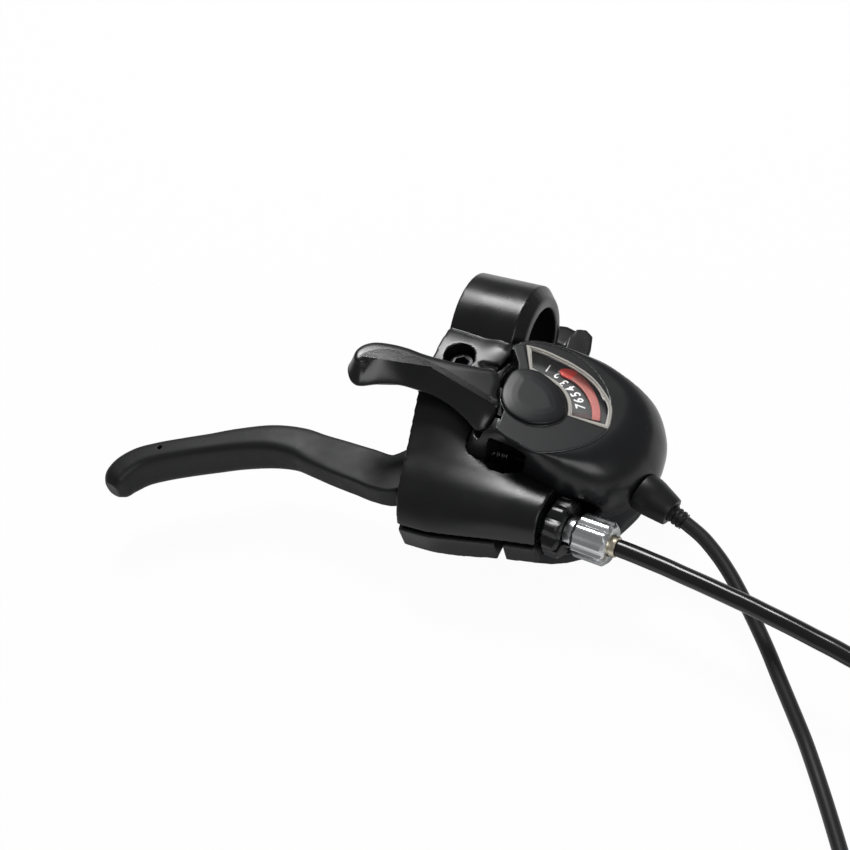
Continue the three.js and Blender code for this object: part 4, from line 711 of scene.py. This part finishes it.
def cover_rows():
    """The cover's side: radii at each angle run straight between the levels, and the foot stays upright."""
    levels = np.linspace(cover_levels[0][0], cover_run_out, 90)
    known = np.array([round_radius(shares) for _, shares in cover_levels])
    heights = -np.array([w for w, _ in cover_levels])
    i = np.clip(np.searchsorted(heights, -levels, side="right") - 1, 0, 2)
    t = np.clip((-levels - heights[i]) / (heights[i + 1] - heights[i]), 0, 1)[:, None]
    return round_rows(known[i] * (1 - t) + known[i + 1] * t, levels)


moulded_from("bottom_cover", cover_black, cell=0.4, rounds=5, forms=[cover_rows()], hold=0.6)
dress(("cover_screw_1", "cover_screw_2", "cover_screw_3"), zinc)

# Indicator cover: one black moulding with the rounded boss over the axle and the plain panel below it. The
# panel and the wedge beside the collar lie almost flush with the dome; the boss stands 1.8 mm proud.
panel_black = finished(
    "panel_black", (0.0072, 0.0077, 0.0092), 0.4,
    tooth=2600, depth=0.004, mottle=0.06, wear=0.2, Specular_IOR_Level=0.34,
)
window_outer = (
    (4, 21.7), (15, 21.8), (23, 22.0), (31, 21.6), (39, 20.9), (49, 20.3), (59, 19.7), (70, 19.1),
    (80, 18.9), (90, 18.9), (99, 19.4), (108, 20.1), (119, 21.0),
)
window_inner = ((4, 9.7), (30, 9.5), (60, 9.6), (90, 10.0), (107, 10.8), (119, 12.0))
window_middle, outer_count, inner_count = 16, 40, 28


def polar_line(stops, count, grow=0.0):
    """Points on an eased run of (angle, radius) pairs, moved outwards by the growth in mm."""
    stops = np.array(stops, float)
    angles = np.linspace(stops[0, 0], stops[-1, 0], count)
    radii = eased(stops[:, 0], stops[:, 1], angles) + grow
    return np.stack((radii * np.cos(np.radians(angles)), radii * np.sin(np.radians(angles))), -1)


def window_outline(inset):
    """The window seen along the axis: its outer edge counterclockwise, then its inner edge back, all drawn in
    by the inset in mm."""
    turn = math.degrees(inset / window_middle)
    first, last = window_outer[0][0] + turn, window_outer[-1][0] - turn
    out = [(max(first, min(last, a)), r) for a, r in window_outer]
    into = [(max(first, min(last, a)), r) for a, r in window_inner]
    return np.vstack((polar_line(out, outer_count, -inset), polar_line(into, inner_count, inset)[::-1]))


def at_level(outline, height):
    """An outline across the unit's axis, set at that height along it."""
    return on_unit(np.c_[outline, np.full(len(outline), height)])


def plate_mesh(name, outline, low, high):
    """A flat plate: the outline as one face at the top and one at the bottom, with a wall between them."""
    count = len(outline)
    corners = on_unit(np.vstack([np.c_[outline, np.full(count, height)] for height in (low, high)]))
    around = np.arange(count)
    nxt = (around + 1) % count
    walls = np.stack((around, nxt, count + nxt, count + around), -1)
    mesh = bpy.data.meshes.new(name)
    ends = [around[::-1].tolist(), (count + around).tolist()]
    mesh.from_pydata(corners.tolist(), [], ends + walls.tolist())
    return mesh


panel_edge = (
    (-118, 14.2), (-100, 14.2), (-84, 14.6), (-74, 15.5), (-68, 16.2), (-52, 16.6), (-38, 17.4),
    (-25, 18.6), (-11, 20.2), (-1, 21.3), (3.2, 21.7),
)
cover_left = np.array((
    (-13.6, 16.4), (-12.2, 14.4), (-9.8, 11.4), (-9.2, 10.2), (-8.6, 7.9), (-9.2, 5.1), (-9.9, 2.8),
    (-9.9, 0.8), (-9.5, -1.2), (-8.4, -3.1), (-7.2, -4.9), (-6.9, -6.4), (-6.7, -8.4), (-6.6, -10.4),
    (-6.8, -11.8),
))
cover_right = polar_line(window_inner, inner_count, -0.25)
cover_top = polar_line(((120.2, 21), (124, 21)), 2)
cover_outline = np.vstack((polar_line(panel_edge, 46), cover_right, cover_top, cover_left))
panel_low, panel_high, wedge_low, wedge_high = -1.9, 0.2, -4.0, -0.2
panel_shape = plate_mesh("indicator_panel", cover_outline, panel_low, panel_high)
panel = link_piece("indicator_panel", panel_shape, panel_black, 30)
wedge_right = [(-6.4, -2.4), (-6.6, 3.0), (-6.4, 8.0), (-7.6, 12.4), (-10.2, 16.6)]
wedge_shape = plate_mesh("indicator_wedge", np.vstack((cover_left[:10], wedge_right)), wedge_low, wedge_high)
wedge = link_piece("indicator_wedge", wedge_shape, panel_black, 30)


def loop_line(points, count):
    """A closed smooth line through points, as an open one that runs three points past its start."""
    wide = np.c_[np.vstack((points[-3:], points, points[:3])), np.zeros(len(points) + 6)]
    knot = np.concatenate(([0], np.cumsum(np.sqrt(np.linalg.norm(np.diff(wide, axis=0), axis=1)))))
    at = np.linspace(knot[3], knot[-3], count, endpoint=False)
    return eased(knot, wide[:, :2], at)


def drawn_in(line, inset):
    """A closed line moved inwards, square to itself, by the inset."""
    ahead = np.roll(line, -1, 0) - np.roll(line, 1, 0)
    ahead /= np.linalg.norm(ahead, axis=1, keepdims=True)
    return line + inset * np.stack((-ahead[:, 1], ahead[:, 0]), -1)


boss_edge = (
    (192, 9.7), (218, 8.9), (241, 8.0), (280, 7.4), (316, 7.8), (336, 8.4), (350, 9.0), (366, 9.2),
    (383, 8.6), (415, 8.6), (440, 9.3), (465, 10.8), (479, 11.6), (500, 12.3), (526, 10.6),
)
boss_points = np.array([(r * math.cos(math.radians(a)), r * math.sin(math.radians(a))) for a, r in boss_edge])
boss_line = loop_line(boss_points, 200)
boss_steps = ((0, -1.9), (0, 0.9), (0.12, 1.15), (0.4, 1.32), (1.4, 1.5), (2.8, 1.68), (4.6, 1.8))
boss_rows = [at_level(drawn_in(boss_line, inset), height) for inset, height in boss_steps]
boss = skin("indicator_boss", boss_rows, panel_black, 30)
parts = [panel, wedge, boss]
with bpy.context.temp_override(active_object=panel, selected_editable_objects=parts, selected_objects=parts):
    bpy.ops.object.join()
panel.name = "indicator_cover_moulding"
stands_for(remoulded(panel, cell=0.2, rounds=4), "indicator_cover")

# Indicator window: a clear moulded pane with a pale frosted rim where it is welded to the housing. Light
# passes it without a shadow, so that the dial below is as bright as its surroundings.
pane, tree, shader = material_of("clear_pane", (0.98, 0.985, 0.98), 0.03, Transmission_Weight=1.0, IOR=1.49)
ripple = node(tree, "TexNoise", [("Vector", node(tree, "TexCoord").outputs["Object"])], Scale=260.0)
soft_wave = node(tree, "Bump", [("Height", ripple.outputs["Fac"])], Strength=0.5, Distance=0.01 * mm)
tree.links.new(soft_wave.outputs["Normal"], shader.inputs["Normal"])
shade_ray = node(tree, "LightPath").outputs["Is Shadow Ray"]
open_way = node(tree, "BsdfTransparent").outputs[0]
lit_through = node(tree, "MixShader", [(0, shade_ray), (1, shader.outputs[0]), (2, open_way)])
tree.links.new(lit_through.outputs[0], tree.nodes["Material Output"].inputs["Surface"])
frost = finished(
    "frosted_rim", (0.4, 0.385, 0.35), 0.42,
    tooth=4200, depth=0.01, mottle=0.08, wear=0.1, Specular_IOR_Level=0.5,
)
pane_inset, pane_low, pane_high = 0.5, -0.9, -0.12
window_shape = plate_mesh("indicator_window", window_outline(pane_inset), pane_low, pane_high)
stands_for(link_piece("indicator_window", window_shape, pane, 30), "indicator_lens")


def hoop(name, rows, material, crease=35):
    """A ring of constant section: rows are closed loops and the last row joins the first one again."""
    rows = np.asarray(rows, float)
    n, m = rows.shape[:2]
    r, c = (part.ravel() for part in np.meshgrid(np.arange(n), np.arange(m), indexing="ij"))
    nxt, down = (c + 1) % m, (r + 1) % n
    mesh = bpy.data.meshes.new(name)
    quads = np.stack((r * m + c, r * m + nxt, down * m + nxt, down * m + c), -1)
    mesh.from_pydata(rows.reshape(-1, 3).tolist(), [], quads.tolist())
    return link_piece(name, mesh, material, crease)


rim_section = (
    (0.0, -1.7), (0.0, -0.05), (0.1, 0.08), (0.62, 0.1), (0.72, 0.0), (0.78, -0.4), (1.1, -0.45),
    (1.15, -0.9), (0.8, -1.7),
)
rim_rows = [at_level(window_outline(inset), height) for inset, height in rim_section][::-1]
rim = hoop("window_rim", rim_rows, frost)
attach(rim, "housing")

# Edge beads: rounded lips along the panel's edge and round the boss's foot, where the mould rounds these
# edges. Their black is paler and glossier than the plastic's, which paints a bright highlight line along the
# edges. They are tubes 0.3 mm across, sunk part way into the black plastic.
lip_painted_highlight = finished(
    "lip_painted_highlight", (0.03, 0.031, 0.034), 0.2,
    tooth=3000, depth=0.001, mottle=0.03, wear=0.5, Specular_IOR_Level=0.9,
)
foot_edge = (
    (196, 9.8), (218, 9.05), (241, 8.15), (280, 7.55), (316, 7.95), (336, 8.55), (350, 9.15), (364, 9.35),
)
lip_radius = 0.15 * mm
for name, stops, height in (("panel_lip", panel_edge[2:], 0.14), ("boss_lip", foot_edge, 0.26)):
    lip_line = at_level(polar_line(stops, 100), height)
    lip = skin(name, tube_rows(lip_line, lip_radius, sides=10), lip_painted_highlight, 180)
    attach(lip, "housing")

# Window frame: the black crescent of the housing between the window's curved outer edge and the round seat
# behind it. It is flat, and moulded with the dome.
crescent_inner = [(a, r) for a, r in window_outer if a > 20]
crescent_outer = ((23, 22.3), (60, 22.2), (100, 22.2), (119, 22.1))
crescent_gap = 0.15
inner_line = polar_line(crescent_inner, outer_count, -crescent_gap)
crescent = np.vstack((polar_line(crescent_outer, outer_count), inner_line[::-1]))
crescent_low, crescent_high = -1.7, -0.08
crescent_shape = plate_mesh("window_frame", crescent, crescent_low, crescent_high)
frame_piece = link_piece("window_frame", crescent_shape, dome_black, 30)
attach(frame_piece, "housing")

# Dial: a matt grey plate below the window, printed with the numbers one to seven, each turned to stand on the
# curve that the needle's tip follows.
dial_grey = finished("dial_grey", (0.024, 0.025, 0.027), 0.55, tooth=5000, depth=0.004, mottle=0.03, wear=0)
dress(("dial_plate",), dial_grey)
print_white = finished("print_white", (0.8, 0.8, 0.8), 0.5, tooth=5000, depth=0.002, mottle=0.03, wear=0)
number_angles = (96, 84, 72.5, 61.5, 52, 43, 34)
number_radii = (16.7, 15.7, 14.2, 14.3, 14.3, 14.2, 14.0)
number_size, number_slant, boldness, print_height, print_level = 2.9, 0.25, 0.05, 0.02, -4.17
width_share, height_share = 1.14, 1.3
corners, faces = [], []
for number, (angle, radius) in enumerate(zip(number_angles, number_radii), 1):
    text = bpy.data.curves.new("number", "FONT")
    text.body = str(number)
    text.size = number_size
    text.shear = number_slant
    text.offset = boldness
    text.extrude = print_height
    text.align_x = "CENTER"
    text.align_y = "CENTER"
    drawn = bpy.data.objects.new("number", text)
    shape = bpy.data.meshes.new_from_object(drawn)
    flat = np.zeros(len(shape.vertices) * 3, np.float32)
    shape.vertices.foreach_get("co", flat)
    flat = flat.reshape(-1, 3).astype(float)
    out = np.array((math.cos(math.radians(angle)), math.sin(math.radians(angle))))
    along = np.array((-out[1], out[0]))
    spot = radius * out + flat[:, :1] * along * width_share - flat[:, 1:2] * out * height_share
    faces += [[v + sum(map(len, corners)) for v in face.vertices] for face in shape.polygons]
    corners.append(on_unit(np.c_[spot, flat[:, 2] + print_level]))
    bpy.data.objects.remove(drawn)
digits = bpy.data.meshes.new("dial_numbers")
digits.from_pydata(np.vstack(corners).tolist(), [], faces)
numbers = link_piece("dial_numbers", digits, print_white, 30)
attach(numbers, "housing")

# Needle: a band of salmon-red plastic with a bright red tip that points at the number of the gear. An arm
# joins it to its hub; arm and hub are a much darker copy of the salmon, which paints shade on them. The
# needle turns with the spool.
needle_red = finished("needle_red", (0.6, 0.055, 0.045), 0.42, tooth=3000, depth=0.002, mottle=0.04, wear=0)
needle_salmon = finished(
    "needle_salmon", (0.36, 0.095, 0.08), 0.4,
    tooth=3000, depth=0.002, mottle=0.06, wear=0,
)
band_line = ((16, 16.7, 19.0), (36, 16.7, 19.1), (49, 16.5, 19.2), (63, 16.2, 19.3), (70, 15.9, 19.2))


def band_outline(stops):
    """The outer edge of a run of (angle, inner radius, outer radius), then its inner edge back."""
    stops = np.array(stops, float)
    return np.vstack((polar_line(stops[:, [0, 2]], 30), polar_line(stops[:, [0, 1]], 30)[::-1]))


needle_low, needle_high = -3.8, -3.2
band_shape = plate_mesh("needle_band", band_outline(band_line), needle_low, needle_high)
band = link_piece("needle_band", band_shape, needle_salmon, 30)
tip_line = ((70.4, 15.9, 19.2), (76, 15.6, 18.9), (81, 15.5, 18.2), (85, 16.3, 17.2))
tip_shape = plate_mesh("needle_tip", band_outline(tip_line), needle_low, needle_high)
needle_tip = link_piece("needle_tip", tip_shape, needle_red, 30)
needle_painted_shade = finished(
    "needle_painted_shade", (0.03, 0.008, 0.008), 0.45,
    tooth=3000, depth=0.002, mottle=0.04, wear=0,
)
arm_outline = np.array(((17.3, 5.0), (4.7, 1.3), (4.2, 2.6), (15.6, 6.3)))
arm_high = -3.25
arm = link_piece("needle_arm", plate_mesh("needle_arm", arm_outline, needle_low, arm_high), needle_painted_shade, 30)
hub_profile = mm * np.array(
    ((needle_low, 3.05), (needle_low, 5.1), (-3.3, 5.2), (needle_high, 5.1), (needle_high, 3.05))
)
hub_rows = turned_rows(hub_profile, unit_middle * mm, unit_turn[:, 2])
hub = hoop("needle_hub", hub_rows, needle_painted_shade)
stands_for(band, "gear_needle")
for piece in (needle_tip, arm, hub):
    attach(piece, "gear_display")

# Release lever: a black moulded finger lever over the hood. A bright flat top ends in a crest, and the front
# face slopes down from it to a soft lower edge; a thin hub under the indicator cover carries it.
lever_black = finished(
    "lever_black", (0.0055, 0.0058, 0.0068), 0.27,
    tooth=2400, depth=0.005, mottle=0.06, wear=0.25, Specular_IOR_Level=0.55,
)
release_low = np.array((
    (-11.2, 2.4), (-13.6, 6.4), (-18.1, 5.9), (-25.2, 4.2), (-30.1, 3.3), (-35.1, 2.7), (-40.3, 2.4),
    (-45.2, 1.5), (-49.8, -0.1), (-52.9, -3.0), (-53.9, -6.6), (-53.9, -8.6), (-53.2, -10.5),
    (-51.2, -12.9), (-49.2, -13.7), (-47.4, -13.2), (-44.2, -11), (-41, -9.2), (-37.5, -7.9),
    (-32.9, -7.3), (-27.5, -7), (-21.5, -8.2), (-16.1, -10.4), (-11.8, -12.4), (-9.6, -10.2),
    (-8.9, -6.9), (-9.3, -3.4), (-10.5, -0.8),
))
release_top = np.array((
    (-11.6, 2.4), (-14.1, 5.7), (-18.1, 5.0), (-25.2, 3.3), (-30.1, 2.4), (-35.1, 1.8), (-40.3, 1.6),
    (-45.2, 0.7), (-49.6, -1.0), (-52.0, -3.4), (-52.9, -6.0), (-52.6, -8.0), (-51.6, -9.4),
    (-50.0, -9.6), (-48.9, -8.6), (-48.0, -7.0), (-45.6, -4.8), (-42.4, -3.5), (-38.6, -2.8),
    (-33.5, -2.7), (-28.4, -3.0), (-22.6, -3.9), (-16.6, -5.2), (-11.6, -6.1), (-9.2, -6.2), (-8.6, -5.2),
    (-9.5, -3.6), (-10.8, -1.5),
))
low_line, top_line = (loop_line(edge, 260) for edge in (release_low, release_top))
side_foot, side_rise = -4.6, 4.4
release_rings = [(0.0, 1.1, -5.6), (0.0, 0.45, -5.45), (0.0, 0.1, -5.1), (0.0, 0.0, side_foot)]
release_rings += [(t, 0.0, side_foot + side_rise * t ** 1.25) for t in np.linspace(0.06, 0.94, 16)]
release_rings += [(1.0, 0.0, -0.2), (1.0, 0.12, 0.14), (1.0, 0.4, 0.42), (1.0, 0.9, 0.62)]
release_rings += [(1.0, 1.6, 0.74), (1.0, 2.3, 0.8)]
release_rows = []
for share_up, inset, height in release_rings:
    ring = drawn_in(low_line * (1 - share_up) + top_line * share_up, inset)
    release_rows.append(at_level(ring, height))
release = skin("release_finger", release_rows, lever_black, 60)
stands_for(release, "release_lever")
web_low, web_high = -6.4, -4.9
carrier_profile = mm * np.array(((web_low, 3.0), (web_low, 5.4), (web_high, 5.4), (web_high, 3.0)))
carrier_rows = turned_rows(carrier_profile, unit_middle * mm, unit_turn[:, 2])
carrier = hoop("release_hub", carrier_rows, lever_black)
web_outline = np.array(((-13.6, -5.6), (-3.6, -3.9), (-5.2, 0), (-3.6, 3.9), (-13.6, 4.6)))
web_shape = plate_mesh("release_web", web_outline[::-1], web_low, web_high)
web = link_piece("release_web", web_shape, lever_black, 30)
for piece in (carrier, web):
    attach(piece, "release_lever")

# Thread seal: a ring of green locking paste on the adjuster's thread, squeezed out between the nose and the
# lock ring.
seal_green = finished("seal_green", (0.02, 0.16, 0.05), 0.45, tooth=5000, depth=0.02, mottle=0.1, wear=0)
seal_profile = mm * np.array(((0.2, 3.25), (0.25, 3.75), (1.3, 3.9), (2.3, 3.7), (2.4, 3.25)))
seal_turn = math.radians(-4.6)
seal_axis = np.array((math.cos(seal_turn), math.sin(seal_turn), 0))
thread_foot = mm * np.array((36, -55, -7.6))
seal_rows = turned_rows(seal_profile, thread_foot, seal_axis)
seal = hoop("thread_seal", seal_rows, seal_green)
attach(seal, "housing")

# Thumb lever: an arm under the housing with a pad for the thumb at its end. Both are one black moulding with
# soft edges.
moulded_from("thumb_lever", nylon)

# Cable outlet: a black rubber cone that starts against the dome and tapers to the ribbed sleeve, which guides
# the shift casing.
rubber = finished(
    "outlet_rubber", (0.008, 0.0082, 0.0088), 0.42,
    tooth=3200, depth=0.006, mottle=0.06, wear=0.15, Specular_IOR_Level=0.34,
)
outlet_turn = math.radians(-17.6)
outlet_ahead = unit_turn @ np.array((math.cos(outlet_turn), math.sin(outlet_turn), 0))
outlet_start = on_unit(((38.6, -4.6, -13.6),))[0]
outlet_profile = mm * np.array((
    (-2.4, 0.01), (-2.4, 5.6), (-1.6, 5.75), (0.6, 5.7), (2.0, 5.55), (2.5, 5.45), (4.5, 5.05),
    (6.6, 4.65), (7.8, 4.4), (8.2, 4.25), (8.4, 3.9), (8.4, 3.0), (8.25, 2.8), (7.2, 2.72), (7.2, 0.01),
))
outlet_rows = turned_rows(outlet_profile, outlet_start, outlet_ahead, sides=128)
stands_for(skin("outlet_cone", outlet_rows, rubber, 40), "cable_outlet")
machined_from("outlet_sleeve", rubber, edge=0.08)
